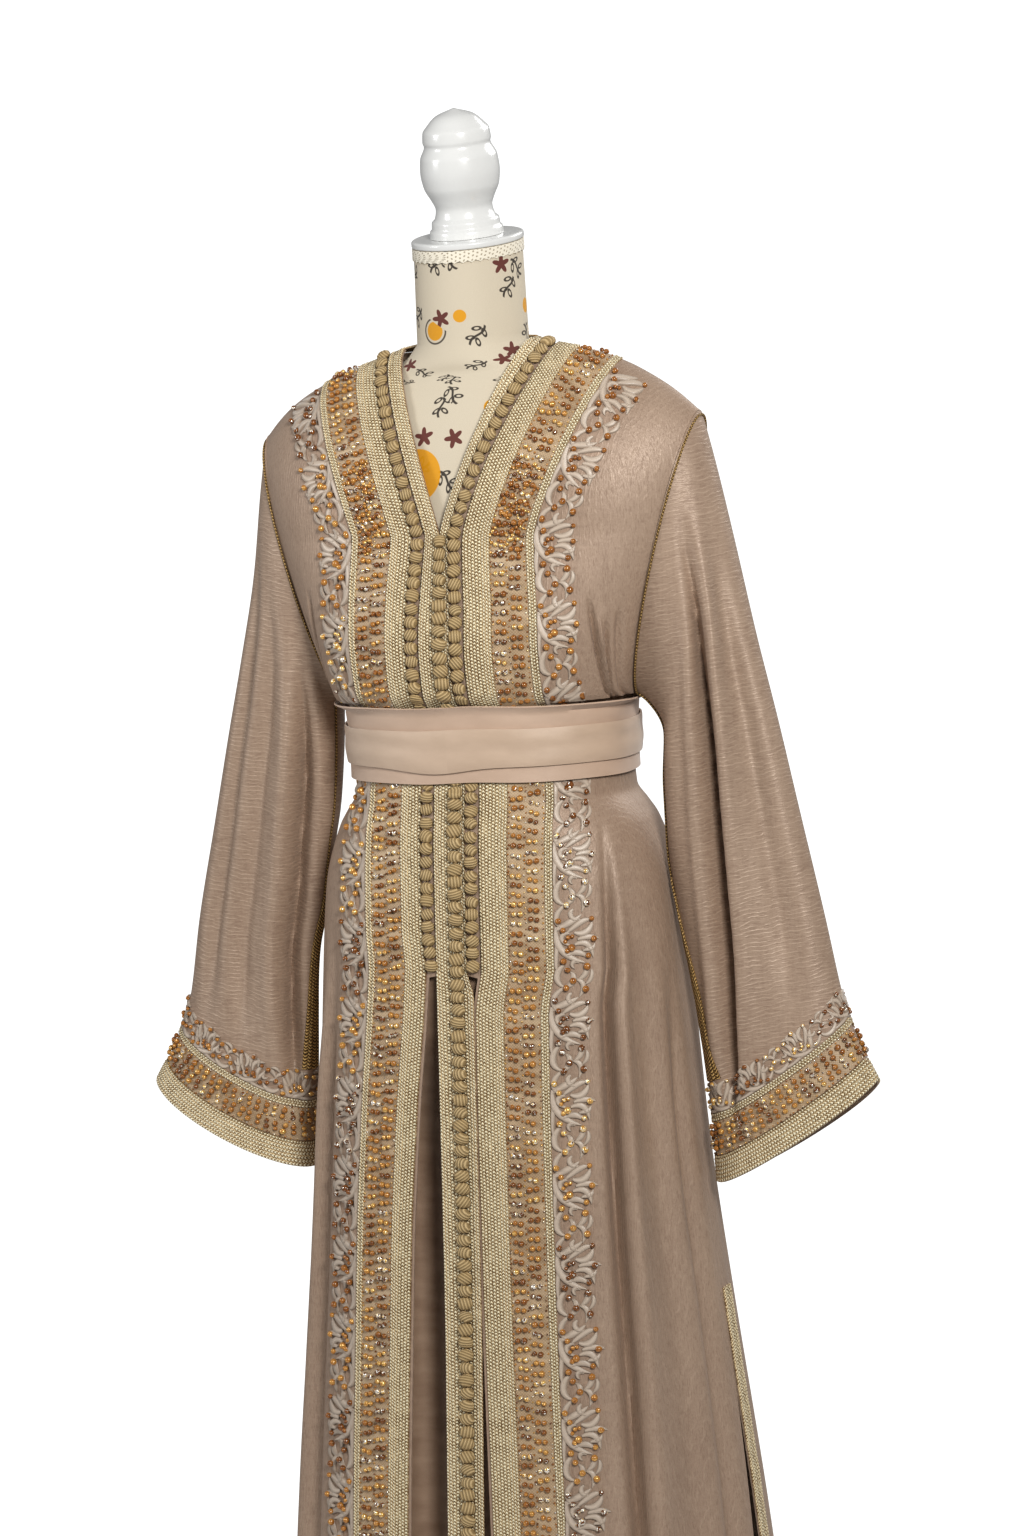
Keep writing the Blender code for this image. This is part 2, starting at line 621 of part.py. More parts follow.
def wall_mesh(outer, inner, closed=False):
    """A wall between two grids; closed joins the last column to the first."""
    rows, columns = outer.shape[:2]
    count = rows * columns
    faces = grid_faces(rows, columns, closed, 0)
    faces += [face[::-1] for face in grid_faces(rows, columns, closed, count)]
    for row, way in ((0, 1), (rows - 1, -1)):
        for column in range(columns if closed else columns - 1):
            a, b = row * columns + column, row * columns + (column + 1) % columns
            faces.append([b, a, count + a, count + b][::way])
    if not closed:
        for column, way in ((0, -1), (columns - 1, 1)):
            for row in range(rows - 1):
                a, b = row * columns + column, (row + 1) * columns + column
                faces.append([b, a, count + a, count + b][::way])
    points = np.concatenate([outer.reshape(-1, 3), inner.reshape(-1, 3)])
    return points, faces


def signed_volume(points, faces):
    total = 0.0
    for face in faces:
        for k in range(1, len(face) - 1):
            a, b, c = points[face[0]], points[face[k]], points[face[k + 1]]
            total += float(np.dot(a, np.cross(b, c)))
    return total


def material(name, look):
    made = bpy.data.materials.new(name)
    made.use_nodes = True
    shader = made.node_tree.nodes["Principled BSDF"]
    shader.inputs["Base Color"].default_value = (look.red, look.green, look.blue, 1)
    shader.inputs["Roughness"].default_value = look.rough
    shader.inputs["Metallic"].default_value = look.metal
    made.diffuse_color = (look.red, look.green, look.blue, 1)
    return made


def add_object(name, mesh, look):
    mesh.materials.append(material(name, look))
    made = bpy.data.objects.new(name, mesh)
    garment.objects.link(made)
    mesh.shade_smooth()
    mesh.set_sharp_from_angle(angle=SHARP_ANGLE)
    return made


def add_mesh(name, points, faces, look):
    """An object from points in millimetres, its faces turned outwards."""
    if signed_volume(points, faces) < 0:
        faces = [face[::-1] for face in faces]
    mesh = bpy.data.meshes.new(name)
    mesh.from_pydata((points * MM).tolist(), [], faces)
    mesh.validate()
    return add_object(name, mesh, look)


def add_wall(name, points, normals, thick, look, lift=0.0, closed=False):
    """Cloth or trim whose inner side is lifted this far off the grid's points."""
    lift = np.asarray(lift, float)
    thick = np.asarray(thick, float)
    if lift.ndim == 1:
        lift = lift[:, None, None]
    if thick.ndim == 1:
        thick = thick[:, None, None]
    inner = points + normals * lift
    points, faces = wall_mesh(inner + normals * thick, inner, closed)
    return add_mesh(name, points, faces, look)


def add_turned(name, profile, look, steps=16):
    """A turned piece from its profile, top to bottom, by a Screw modifier."""
    mesh = bpy.data.meshes.new(name)
    points = [(turn.radius * MM, 0, turn.up * MM) for turn in profile]
    mesh.from_pydata(points, [(k, k + 1) for k in range(len(points) - 1)], [])
    made = add_object(name, mesh, look)
    screw = made.modifiers.new("Turn", "SCREW")
    screw.steps = screw.render_steps = steps
    screw.use_merge_vertices = True
    screw.merge_threshold = 0.0001
    return made


def belt_share(z):
    """How much of a trim's height is left at this height: little under the belt."""
    z = np.asarray(z, float)
    under = ease(BELT_LOW - 22, BELT_LOW - 6, z) * (1 - ease(BELT_HIGH + 5, BELT_HIGH + 20, z))
    return 1 - (1 - UNDER_BELT) * under


# ---- the garment's pieces --------------------------------------------------------------------
def add_trim(name, panel, rows, first, last, high, look):
    points, normals = panel.strip(rows, first, last)
    heights = high * belt_share(points[:, 0, 2])
    add_wall(name, points, normals, heights, look, lift=SEAM)


def knotted(left, right, normals, lift, first_knot):
    """Rows of a strip that swells into a knot at every pitch: two feet and a crown per row."""
    inwards = unit(right - left) * KNOT_INSET
    left, right = left + inwards, right - inwards
    middle = (left + right) / 2
    steps = np.linalg.norm(np.diff(middle, axis=0), axis=1)
    run = np.concatenate([[0], np.cumsum(steps)])
    knots = int((run[-1] - first_knot) // BUTTON_PITCH)
    stations = np.linspace(0, knots * BUTTON_PITCH, 2 * knots + 1) + first_knot
    crown = np.array([BUTTON_DIP, BUTTON_HIGH])[np.arange(len(stations)) % 2]
    feet = []
    for side in (left, right):
        line = side + normals * lift[:, None]
        feet.append(np.stack([np.interp(stations, run, line[:, axis]) for axis in range(3)], 1))
    ways = unit(np.stack([np.interp(stations, run, normals[:, axis]) for axis in range(3)], 1))
    centre = (feet[0] + feet[1]) / 2
    tops = centre + ways * (crown * belt_share(centre[:, 2]))[:, None]
    return np.stack([feet[0], tops, feet[1]], axis=1)


def add_knots(name, grid):
    """A three-sided bar through rows of foot, crown, foot."""
    rows = len(grid)
    faces = grid_faces(rows, 3, True, 0)
    faces += [[2, 1, 0], [3 * rows - 3, 3 * rows - 2, 3 * rows - 1]]
    add_mesh(name, grid.reshape(-1, 3), faces, KNOTS)


def add_front(wearer_side, panel):
    chest = len(BODY_ROWS)
    slit = SKIRT_ROWS.index(SLIT_TOP)
    everything = slice(0, None)
    add_wall(f"front_{wearer_side}", panel.points, panel.normals, CLOTH, SATIN, lift=-CLOTH)
    trims = (
        ("wide_braid", AAKAD_COL, BRAID_COL, BRAID_HIGH, BRAID),
        ("bead_band", BRAID_COL, BAND_COL, BEAD_BAND_HIGH, BEADING),
        ("narrow_braid", BAND_COL, NARROW_COL, NARROW_HIGH, BRAID),
        ("scroll_border", NARROW_COL, SCROLL_COL, SCROLL_HIGH, CORDING),
    )
    for kind, first, last, high, look in trims:
        add_trim(f"{kind}_{wearer_side}", panel, everything, first, last, high, look)
    add_trim(f"neck_braid_{wearer_side}", panel, slice(chest, None), EDGE_COL, STRIP_COL,
             BRAID_HIGH, BRAID)
    points, normals = panel.strip(slice(slit, None), STRIP_COL, AAKAD_COL)
    lift = np.full(len(points), KNOT_LIFT)
    add_knots(f"aakad_{wearer_side}", knotted(points[:, 0], points[:, 1], normals[:, 0], lift, 1.0))


def add_centre_strip():
    """The strip that covers the closing; below the slits it hangs free with its column of knots."""
    rows = []
    for z in BODY_ROWS + (CHEST_Z,):
        right = band_start(z) - AAKAD_WIDTH - SEAM
        left = right - (inward(LEFT, z) if z >= SLIT_TOP else 0)
        knots_right, knots_left = CENTRE_KNOTS
        row = along(body_row(LEFT, z, -1), [right, knots_right, min(knots_left, left - 1), left])
        row[:2, 0] *= -1
        rows.append(row)
    panel = Panel(np.array(rows))
    panel.points[-1] -= np.array([0, 0, 2 * SEAM])
    heights = BRAID_HIGH * belt_share(panel.points[:, 0, 2])
    add_wall("centre_strip", panel.points, panel.normals, heights, BRAID, lift=SEAM)
    lift = SEAM + heights + KNOT_LIFT
    add_knots("aakad_centre", knotted(panel.points[:, 1], panel.points[:, 2],
                                      panel.normals[:, 1], lift, 2.0))


def add_back(whole):
    add_wall("back", whole.points, whole.normals, CLOTH, SATIN, lift=-CLOTH)
    slit_rows = slice(0, SKIRT_ROWS.index(SIDE_SLIT_TOP) + 1)
    last = whole.points.shape[1] - 1
    for name, first in (("side_braid_left", last - 1), ("side_braid_right", 0)):
        points, normals = whole.strip(slit_rows, first, first + 1)
        outer = 1 if first else 0
        near, far = points[:, outer].copy(), points[:, 1 - outer].copy()
        points[:, 1 - outer] = near + unit(far - near) * SIDE_BRAID_WIDTH
        add_wall(name, points, normals, BRAID_HIGH, BRAID, lift=SEAM)


def add_neck_back_braid():
    """The neck's braid carried round the back, from one shoulder seam to the other."""
    arms = []
    for half in (RIGHT, LEFT):
        inner = back_neck_line(half, 0.0)[::4]
        outer = back_neck_line(half, neck_braid_width())[::4]
        arm = np.stack([inner, outer], axis=1)
        arm[-1, :, 1] += HALF_SEAM
        arms.append(arm)
    rows = np.concatenate([arms[0][:0:-1] * np.array([-1, 1, 1]), arms[1]], axis=0)
    panel = Panel(rows)
    panel.normals = outward(panel.normals, np.broadcast_to([0.0, 0.0, 1.0], rows.shape))
    for end, sign, half in ((0, -1, RIGHT), (-1, 1, LEFT)):
        seam_way = shoulder_way(half)
        run = unit(panel.points[end, 1] - panel.points[end, 0])
        level = math.hypot(run[0], run[1])
        panel.normals[end] = (-run[2] * sign * seam_way[0], -run[2] * seam_way[1], level)
    add_wall("neck_braid_back", panel.points, panel.normals, BRAID_HIGH, BRAID, lift=SEAM)


def add_sleeve(wearer_side, panel):
    add_wall(f"sleeve_{wearer_side}", panel.points, panel.normals, CLOTH, SATIN, lift=-CLOTH,
             closed=True)
    trims = (
        ("cuff_scroll", -5, -4, SCROLL_HIGH, CORDING),
        ("cuff_narrow", -4, -3, NARROW_HIGH, BRAID),
        ("cuff_beads", -3, -2, BEAD_BAND_HIGH, BEADING),
        ("cuff_braid", -2, -1, BRAID_HIGH, BRAID),
    )
    for kind, upper, lower, high, look in trims:
        points = panel.points[[upper, lower]].copy()
        way = unit(points[1] - points[0]) * CUFF_GAP
        points = points + np.stack([way, -way])
        normals = panel.normals[[upper, lower]]
        add_wall(f"{kind}_{wearer_side}", points, normals, high, look, lift=SEAM, closed=True)
    first = int(np.searchsorted(SLEEVE_SHARES, SEAM_BRAID_SHARE))
    rows = slice(first, len(SLEEVE_SHARES) + 1)
    points, normals = panel.strip(rows, 0, 1)
    points[-1] += unit(points[-2] - points[-1]) * SEAM
    add_wall(f"under_seam_braid_{wearer_side}", points, normals, NARROW_HIGH, BRAID, lift=SEAM)


def add_inner_layer():
    """The skirt's inner layer, seen through the slits; its top lies behind the fronts."""
    distances = np.array([HALF_SEAM] + trim_distances(BAND_START)[:4])
    rows = []
    for inset in LAYER_INSETS:
        row = along(body_row(LEFT, inset.z, -1), distances)
        row[0, 0] = 0
        rows.append(np.concatenate([row[:0:-1] * np.array([-1, 1, 1]), row]))
    panel = Panel(np.array(rows))
    insets = np.array([inset.behind for inset in LAYER_INSETS])[:, None, None]
    points = panel.points - panel.normals * insets
    reach = points[..., 0] / points[:, -1:, 0]
    points = folded(points, panel.normals, reach, points[..., 2], LAYER_FOLDS)
    layer = Panel(points)
    layer.normals[-1] = panel.normals[-1]
    add_wall("inner_layer", layer.points, layer.normals, LAYER_CLOTH, LAYER_SATIN,
             lift=-LAYER_CLOTH)


def full_ring(z, columns):
    """A whole level section with evenly spaced points, from the centre front round."""
    front, back = body_row(LEFT, z, -1), body_row(LEFT, z, 1)
    one_side = np.vstack([front, back[-2::-1]])
    whole = np.vstack([one_side, (one_side * np.array([-1, 1, 1]))[-2::-1]])
    return along(whole, np.arange(columns) * length(whole) / columns)


def add_belt():
    bands = (
        ("belt_band", (BELT_LOW, BELT_MIDDLE, BELT_HIGH), BELT_CLEAR, BELT_CLOTH),
        ("belt_wrap", (WRAP_LOW, WRAP_HIGH), BELT_CLEAR + BELT_CLOTH + 3 * SEAM, WRAP_CLOTH),
    )
    for name, heights, clear, thick in bands:
        rings = np.array([full_ring(z, BELT_COLUMNS) for z in heights])
        add_wall(name, rings, tube_normals(rings, rings * (1, 1, 0)), thick, BELT_SATIN,
                 lift=clear, closed=True)


# ---- the dress form --------------------------------------------------------------------------
def add_torso():
    turns = np.arange(TORSO_COLUMNS) * 2 * math.pi / TORSO_COLUMNS
    rings = []
    for row in TORSO:
        depth = np.where(np.cos(turns) > 0, row.front, row.back)
        power = 2 / row.power
        x = row.side * np.sign(np.sin(turns)) * np.abs(np.sin(turns)) ** power
        y = row.middle - depth * np.sign(np.cos(turns)) * np.abs(np.cos(turns)) ** power
        drop = RIGHT_SHOULDER_DROP * np.clip(-x / TORSO_TIP, 0, 1)
        z = row.z - drop * ease(1230, 1370, row.z) * (1 - ease(1420, 1448, row.z))
        rings.append(np.stack([x, y, z], axis=1))
    x, y = NECK_RADIUS * np.sin(turns), -NECK_RADIUS * np.cos(turns)
    rings.append(np.stack([x, y, NECK_TOP + math.tan(NECK_TILT) * y], axis=1))
    count = len(rings) * TORSO_COLUMNS
    faces = grid_faces(len(rings), TORSO_COLUMNS, True, 0)
    faces += [list(range(TORSO_COLUMNS))[::-1], list(range(count - TORSO_COLUMNS, count))]
    add_mesh("form_torso", np.concatenate(rings), faces, COTTON)


def add_neck_lace():
    columns = TORSO_COLUMNS
    turns = np.arange(columns) * 2 * math.pi / columns
    x, y = NECK_RADIUS * np.sin(turns), -NECK_RADIUS * np.cos(turns)
    top = np.stack([x, y, NECK_TOP + math.tan(NECK_TILT) * y], axis=1)
    rows = np.stack([top - (0, 0, LACE_HIGH), top])
    rows = rows - (0, 0, SEAM)
    normals = np.broadcast_to(unit(np.stack([x, y, np.zeros(columns)], axis=1)), rows.shape)
    add_wall("neck_lace", rows, normals, LACE_THICK, LACE, lift=SEAM, closed=True)


def add_head():
    """The cap on the neck's tilted top, and the turned finial that stands on it."""
    cap = (Turn(CAP_THICK, 0), Turn(CAP_THICK, CAP_RADIUS - 2), Turn(CAP_THICK - 2, CAP_RADIUS),
           Turn(1, CAP_RADIUS), Turn(0, CAP_RADIUS - 1), Turn(0, 0))
    finial = FINIAL[::-1] + (Turn(0, 0),)
    for name, profile, up in (("neck_cap", cap, SEAM), ("finial", finial, 2 * SEAM + CAP_THICK)):
        made = add_turned(name, profile, PAINT)
        lean = -math.sin(NECK_TILT) * up
        made.location = (0, lean * MM, (NECK_TOP + math.cos(NECK_TILT) * up) * MM)
        made.rotation_euler = (NECK_TILT, 0, 0)


def add_stand():
    pole = (Turn(TORSO[0].z - SEAM, 0), Turn(TORSO[0].z - SEAM, POLE_RADIUS),
            Turn(BASE_THICK + SEAM, POLE_RADIUS), Turn(BASE_THICK + SEAM, 0))
    base = (Turn(BASE_THICK, 0), Turn(BASE_THICK, BASE_RADIUS - BASE_EDGE),
            Turn(BASE_THICK - BASE_EDGE, BASE_RADIUS), Turn(0, BASE_RADIUS), Turn(0, 0))
    add_turned("pole", pole, PAINT, steps=16)
    add_turned("base", base, PAINT, steps=32)


clear_scene()
garment = bpy.data.collections.new("moroccan_kaftan")
bpy.context.scene.collection.children.link(garment)

back_halves = []
for half in (LEFT, RIGHT):
    front, back_half = front_panel(half), back_panel(half)
    sleeve = sleeve_panel(half.sleeve, armhole_turns(half, front, back_half))
    share_armhole(front, back_half, sleeve)
    back_halves.append(back_half)
    if half is LEFT:
        add_centre_strip()
        add_front(half.name, front)
        add_sleeve(half.name, sleeve)
    else:
        add_front(half.name, front.mirrored())
        add_sleeve(half.name, sleeve.mirrored())
add_back(joined_halves(*back_halves))
add_neck_back_braid()
add_inner_layer()
add_belt()
add_torso()
add_neck_lace()
add_head()
add_stand()
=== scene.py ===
# Moroccan kaftan on a dress form: satin, woven braid, knotted buttons, beads and corded borders.
# Lengths are in millimetres until a mesh is written; +X is the wearer's left, -Y the front.
import json
import math

import bmesh
import bpy
import numpy as np
from mathutils import Matrix, Vector

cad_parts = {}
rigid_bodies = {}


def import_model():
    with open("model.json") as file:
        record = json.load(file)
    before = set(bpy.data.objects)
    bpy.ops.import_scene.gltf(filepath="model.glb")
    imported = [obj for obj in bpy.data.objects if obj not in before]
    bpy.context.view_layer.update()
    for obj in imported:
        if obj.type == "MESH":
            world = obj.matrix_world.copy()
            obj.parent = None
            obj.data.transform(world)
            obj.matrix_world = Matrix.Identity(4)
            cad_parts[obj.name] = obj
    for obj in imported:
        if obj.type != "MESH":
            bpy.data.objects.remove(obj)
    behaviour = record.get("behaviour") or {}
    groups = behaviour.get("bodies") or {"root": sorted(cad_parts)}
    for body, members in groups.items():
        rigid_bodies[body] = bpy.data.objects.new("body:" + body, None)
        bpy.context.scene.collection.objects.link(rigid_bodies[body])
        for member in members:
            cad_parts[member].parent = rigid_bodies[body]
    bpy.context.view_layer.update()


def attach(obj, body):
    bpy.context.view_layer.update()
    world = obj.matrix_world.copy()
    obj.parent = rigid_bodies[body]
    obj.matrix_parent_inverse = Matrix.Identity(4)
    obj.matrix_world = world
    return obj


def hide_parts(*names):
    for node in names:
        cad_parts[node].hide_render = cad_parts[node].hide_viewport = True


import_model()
mm = 0.001
fullTurn = 2 * math.pi
rng = np.random.default_rng(7)


def unit(vectors):
    return vectors / np.maximum(np.linalg.norm(vectors, axis=-1, keepdims=True), 1e-12)


def outward(vectors, away):
    vectors = unit(vectors)
    return -vectors if (vectors * away).sum() < 0 else vectors


def ease(low, high, value):
    t = np.clip((value - low) / (high - low), 0, 1)
    return t * t * (3 - 2 * t)


def readTable(table, column, where):  # a smooth curve through the rows that doesn't overshoot
    at = np.array([row[0] for row in table], float)
    values = np.array([row[column] for row in table], float)
    slopes = np.diff(values) / np.diff(at)
    before, after = slopes[:-1], slopes[1:]
    joint = np.where(before * after > 0, before * after, 0)
    inner = 2 * joint / np.where(joint > 0, before + after, 1)
    tangents = np.concatenate([slopes[:1], inner, slopes[-1:]])
    k = int(np.clip(np.searchsorted(at, where) - 1, 0, len(at) - 2))
    step = at[k + 1] - at[k]
    t = min(max((where - at[k]) / step, 0), 1)
    return (values[k] * (1 + 2 * t) * (1 - t) ** 2 + values[k + 1] * t * t * (3 - 2 * t)
            + step * tangents[k] * t * (1 - t) ** 2 + step * tangents[k + 1] * t * t * (t - 1))


def runOf(line):
    steps = np.linalg.norm(np.diff(line, axis=0), axis=1)
    return np.concatenate([[0], np.cumsum(steps)])


def lengthOf(line):
    return float(runOf(line)[-1])


def onRun(run, values, places):  # each column of the values, read at places along a run
    return np.stack([np.interp(places, run, values[:, axis]) for axis in range(3)], axis=-1)


def along(line, places):
    return onRun(runOf(line), line, places)


def spaced(stops, counts):  # splits each interval between stops into equal parts
    parts = [np.linspace(a, b, n, endpoint=False) for a, b, n in zip(stops, stops[1:], counts)]
    return np.concatenate(parts + [stops[-1:]])


def turnsOf(count):  # even angles round a full turn
    return np.arange(count) * fullTurn / count


def mirror(points):
    return points * np.array([-1, 1, 1])


# the body's form: the same sections, armholes and shoulders on both sides
body = {
    # height, half width, depth in front, depth behind
    "sections": (
        (25, 264, 190, 208), (254, 244, 170, 190), (500, 217, 146, 165), (610, 206, 138, 155),
        (720, 198, 131, 148), (812, 191, 125, 142), (912, 181, 118, 135), (970, 162, 113, 126),
        (985, 153, 110, 118), (1003, 142, 107, 109), (1046, 140, 106, 107), (1090, 143, 109, 109),
        (1106, 160, 120, 117), (1150, 175, 125, 122), (1205, 199, 117, 124), (1264, 216, 104, 120)),
    "squareness": 2.35,
    "overBelt": 1086, "armLow": 1097, "chest": 1264,
    "skirtStops": (25.0, 500, 835, 970, 1020, 1097), "skirtRows": (84, 60, 25, 14, 14),
    "neckSide": 67, "neckForward": -15,
    "neckRound": 1.6, "armRound": 1.7, "neckFlare": 1.12,
    "neckBackDeep": 75, "neckBackHigh": 1450, "neckSpread": (0.75, 0.62), "neckBackRound": 1.25,
    "cloth": 1.6, "seam": 0.3, "armholeGap": 0.2,
}
halfSeam = body["seam"] / 2
halves = {
    "left": {
        "armhole": (158, 1097, 237, 1373, 48),  # low x, low z, high x, high z, half depth
        "ridge": ((67, 1448), (100, 1443), (138, 1434), (165, 1424), (190, 1410), (214, 1394),
                  (237, 1373)),
        # upper edge x and z, lower edge x and z, half depth of each section down the arm
        "sleeve": ((237, 1373, 158, 1097, 48), (249, 1322, 172, 1087, 47),
                   (266, 1240, 188, 1056, 45), (284, 1152, 184, 1002, 41),
                   (302, 1072, 184, 945, 38), (322, 975, 193, 868, 35), (342, 878, 204, 800, 33),
                   (358, 795, 214, 715, 34), (370, 756, 218, 665, 36), (390, 714, 220, 612, 39)),
    },
    "right": {
        "armhole": (158, 1097, 230, 1362, 48),
        "ridge": ((67, 1443), (100, 1433), (138, 1421), (165, 1410), (190, 1397), (212, 1381),
                  (230, 1362)),
        "sleeve": ((230, 1362, 158, 1097, 48), (239, 1310, 168, 1086, 47),
                   (252, 1228, 170, 1046, 45), (273, 1140, 176, 985, 41),
                   (293, 1062, 184, 945, 38), (316, 968, 195, 885, 35), (340, 870, 209, 826, 33),
                   (357, 784, 216, 728, 34), (374, 742, 219, 676, 36), (400, 699, 220, 614, 39)),
    },
}


def armholePoint(half, z, face):
    lowX, lowZ, highX, highZ, deep = half["armhole"]
    share = (z - lowZ) / (highZ - lowZ)
    depth = deep * math.sqrt(max(0, 1 - (2 * share - 1) ** 2))
    return np.array([lowX + share * (highX - lowX), face * depth, z])


def bodyRow(half, z, face, samples=241):  # one level section, from the centre to the side
    depth = readTable(body["sections"], 2 if face < 0 else 3, z)
    side = readTable(body["sections"], 1, z)
    power = body["squareness"]
    if z > body["armLow"]:
        end = armholePoint(half, z, face)
        side = end[0] / (1 - (abs(end[1]) / depth) ** power) ** (1 / power)
    turns = np.linspace(0, math.pi / 2, samples)
    line = np.stack([side * np.sin(turns) ** (2 / power),
                     face * depth * np.cos(turns) ** (2 / power),
                     np.full(samples, float(z))], axis=1)
    if z > body["armLow"]:
        line = np.vstack([line[line[:, 0] < end[0] - 0.01], end])
    return line


def ridgeLine(half):  # the shoulder seam
    xs, zs = (np.array([row[k] for row in half["ridge"]], float) for k in (0, 1))
    fine = np.linspace(xs[0], xs[-1], 121)
    ys = body["neckForward"] * (xs[-1] - fine) / (xs[-1] - xs[0])
    heights = np.pad(np.interp(fine, xs, zs), 8, mode="reflect", reflect_type="odd")
    return np.stack([fine, ys, np.convolve(heights, np.full(17, 1 / 17), mode="valid")], axis=1)


def backNeckLine(half, outwards):
    turns = np.linspace(math.pi / 2, 0, 41)
    seamEnd = along(ridgeLine(half), [outwards])[0]
    backwards, downwards = body["neckSpread"]
    centreY = body["neckForward"] + body["neckBackDeep"] + outwards * backwards
    centreZ = body["neckBackHigh"] - outwards * downwards
    return np.stack([seamEnd[0] * np.cos(turns),
                     seamEnd[1] + (centreY - seamEnd[1]) * np.sin(turns),
                     seamEnd[2] + (centreZ - seamEnd[2]) * np.sin(turns)], axis=1)


def turnedOver(base, top, rise, rounding, flare):
    point = base + (top - base) * rise
    point[..., 0] = base[..., 0] + (top[..., 0] - base[..., 0]) * rise ** flare
    swing = (1 - rise ** rounding) ** (1 / rounding)
    point[..., 1] = top[..., 1] + (base[..., 1] - top[..., 1]) * swing
    return point


def chestArmhole(half, rise, face):
    chest = body["chest"]
    return armholePoint(half, chest + (half["armhole"][3] - chest) * rise, face)


def frontChestRow(half, rise, samples=241):
    share = np.linspace(0, 1, samples)
    baseLine, topLine = bodyRow(half, body["chest"], -1), ridgeLine(half)
    base = along(baseLine, share * lengthOf(baseLine))
    top = along(topLine, share * lengthOf(topLine))
    rounding = body["neckRound"] + (body["armRound"] - body["neckRound"]) * share
    flare = body["neckFlare"] + (1 - body["neckFlare"]) * ease(0, 0.6, share)
    row = turnedOver(base, top, rise, rounding, flare)
    row[-1] = chestArmhole(half, rise, -1)
    return row


def backChestRow(half, rise, share, neckShare, neckBraid):
    baseLine = bodyRow(half, body["chest"], 1)
    base = along(baseLine, share * lengthOf(baseLine))
    neck = backNeckLine(half, neckBraid + body["seam"])
    seam = ridgeLine(half)
    seam = np.vstack([neck[-1], seam[seam[:, 0] > neck[-1, 0] + 0.01]])
    over = np.clip((share - neckShare) / (1 - neckShare), 0, 1)
    top = np.where((share <= neckShare)[:, None],
                   along(neck, share / neckShare * lengthOf(neck)),
                   along(seam, over * lengthOf(seam)))
    sideways = ease(0, neckShare * 1.3, share)
    rounding = body["neckBackRound"] + (body["armRound"] - body["neckBackRound"]) * sideways
    row = turnedOver(base, top, rise, rounding, np.ones_like(share))
    row[-1] = chestArmhole(half, rise, 1)
    return row


# rows of every body panel: close together at the belt, and evenly round the armhole
armHigh = halves["left"]["armhole"][3]
armHeights = body["armLow"] + (armHigh - body["armLow"]) * (
    1 - np.cos(np.radians(np.arange(3, 181, 3)))) / 2
overChest = armHeights - body["chest"]
rows = {
    "skirt": spaced(body["skirtStops"], body["skirtRows"])[:-1],
    "armhole": np.concatenate([[body["armLow"]], armHeights[overChest < -2]]),
    "chest": np.concatenate([[0], overChest[overChest > 2] / (armHigh - body["chest"])]),
}
bodyHeights = np.concatenate([rows["skirt"], rows["armhole"]])
firstArmRow = len(rows["skirt"])
chestRow = len(bodyHeights)


def makeMesh(name, points, faces, uvs=None):
    # faces is a list of index arrays, each n by 3 or n by 4; uvs matches it, one pair a corner
    mesh = bpy.data.meshes.new(name)
    mesh.vertices.add(len(points))
    mesh.vertices.foreach_set("co", (np.asarray(points, float) * mm).ravel())
    loops = np.concatenate([block.ravel() for block in faces])
    sizes = np.concatenate([np.full(len(block), block.shape[1]) for block in faces])
    starts = np.concatenate([[0], np.cumsum(sizes)[:-1]])
    mesh.loops.add(len(loops))
    mesh.loops.foreach_set("vertex_index", loops.astype(np.int32))
    mesh.polygons.add(len(sizes))
    mesh.polygons.foreach_set("loop_start", starts.astype(np.int32))
    if uvs is not None:
        layer = mesh.uv_layers.new(name="UVMap")
        corners = np.concatenate([block.reshape(-1, 2) for block in uvs])
        layer.data.foreach_set("uv", (corners * mm).ravel())
    mesh.update(calc_edges=True)
    mesh.shade_smooth()
    mesh.validate()
    return mesh


def pointsOf(mesh):  # in millimetres
    flat = np.empty(len(mesh.vertices) * 3)
    mesh.vertices.foreach_get("co", flat)
    return flat.reshape(-1, 3) / mm


def linked(name, data):
    made = bpy.data.objects.new(name, data)
    bpy.context.scene.collection.objects.link(made)
    return made


def addPiece(name, mesh, material, replaced=()):
    if material is not None:
        mesh.materials.clear()
        mesh.materials.append(material)
    piece = linked(name, mesh)
    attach(piece, "root")
    if replaced:
        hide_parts(*replaced)
    return piece


def gridCells(rowCount, columnCount, closed):
    # corner indices of each cell: for the points, and for a table with one more column if closed
    r, c = np.meshgrid(np.arange(rowCount - 1), np.arange(columnCount - (not closed)),
                       indexing="ij")
    r, c = r.ravel(), c.ravel()

    def corners(wide, right):
        return np.stack([r * wide + c, r * wide + right, (r + 1) * wide + right,
                         (r + 1) * wide + c], axis=1)
    return corners(columnCount, (c + 1) % columnCount), corners(columnCount + closed, c + 1)


def windingOf(points, cells, away):  # -1 where the cells have to be turned over to face away
    corner = points.reshape(-1, 3)[cells[:, :3]]
    facing = np.cross(corner[:, 1] - corner[:, 0], corner[:, 2] - corner[:, 1])
    return -1 if (facing * away).sum() < 0 else 1


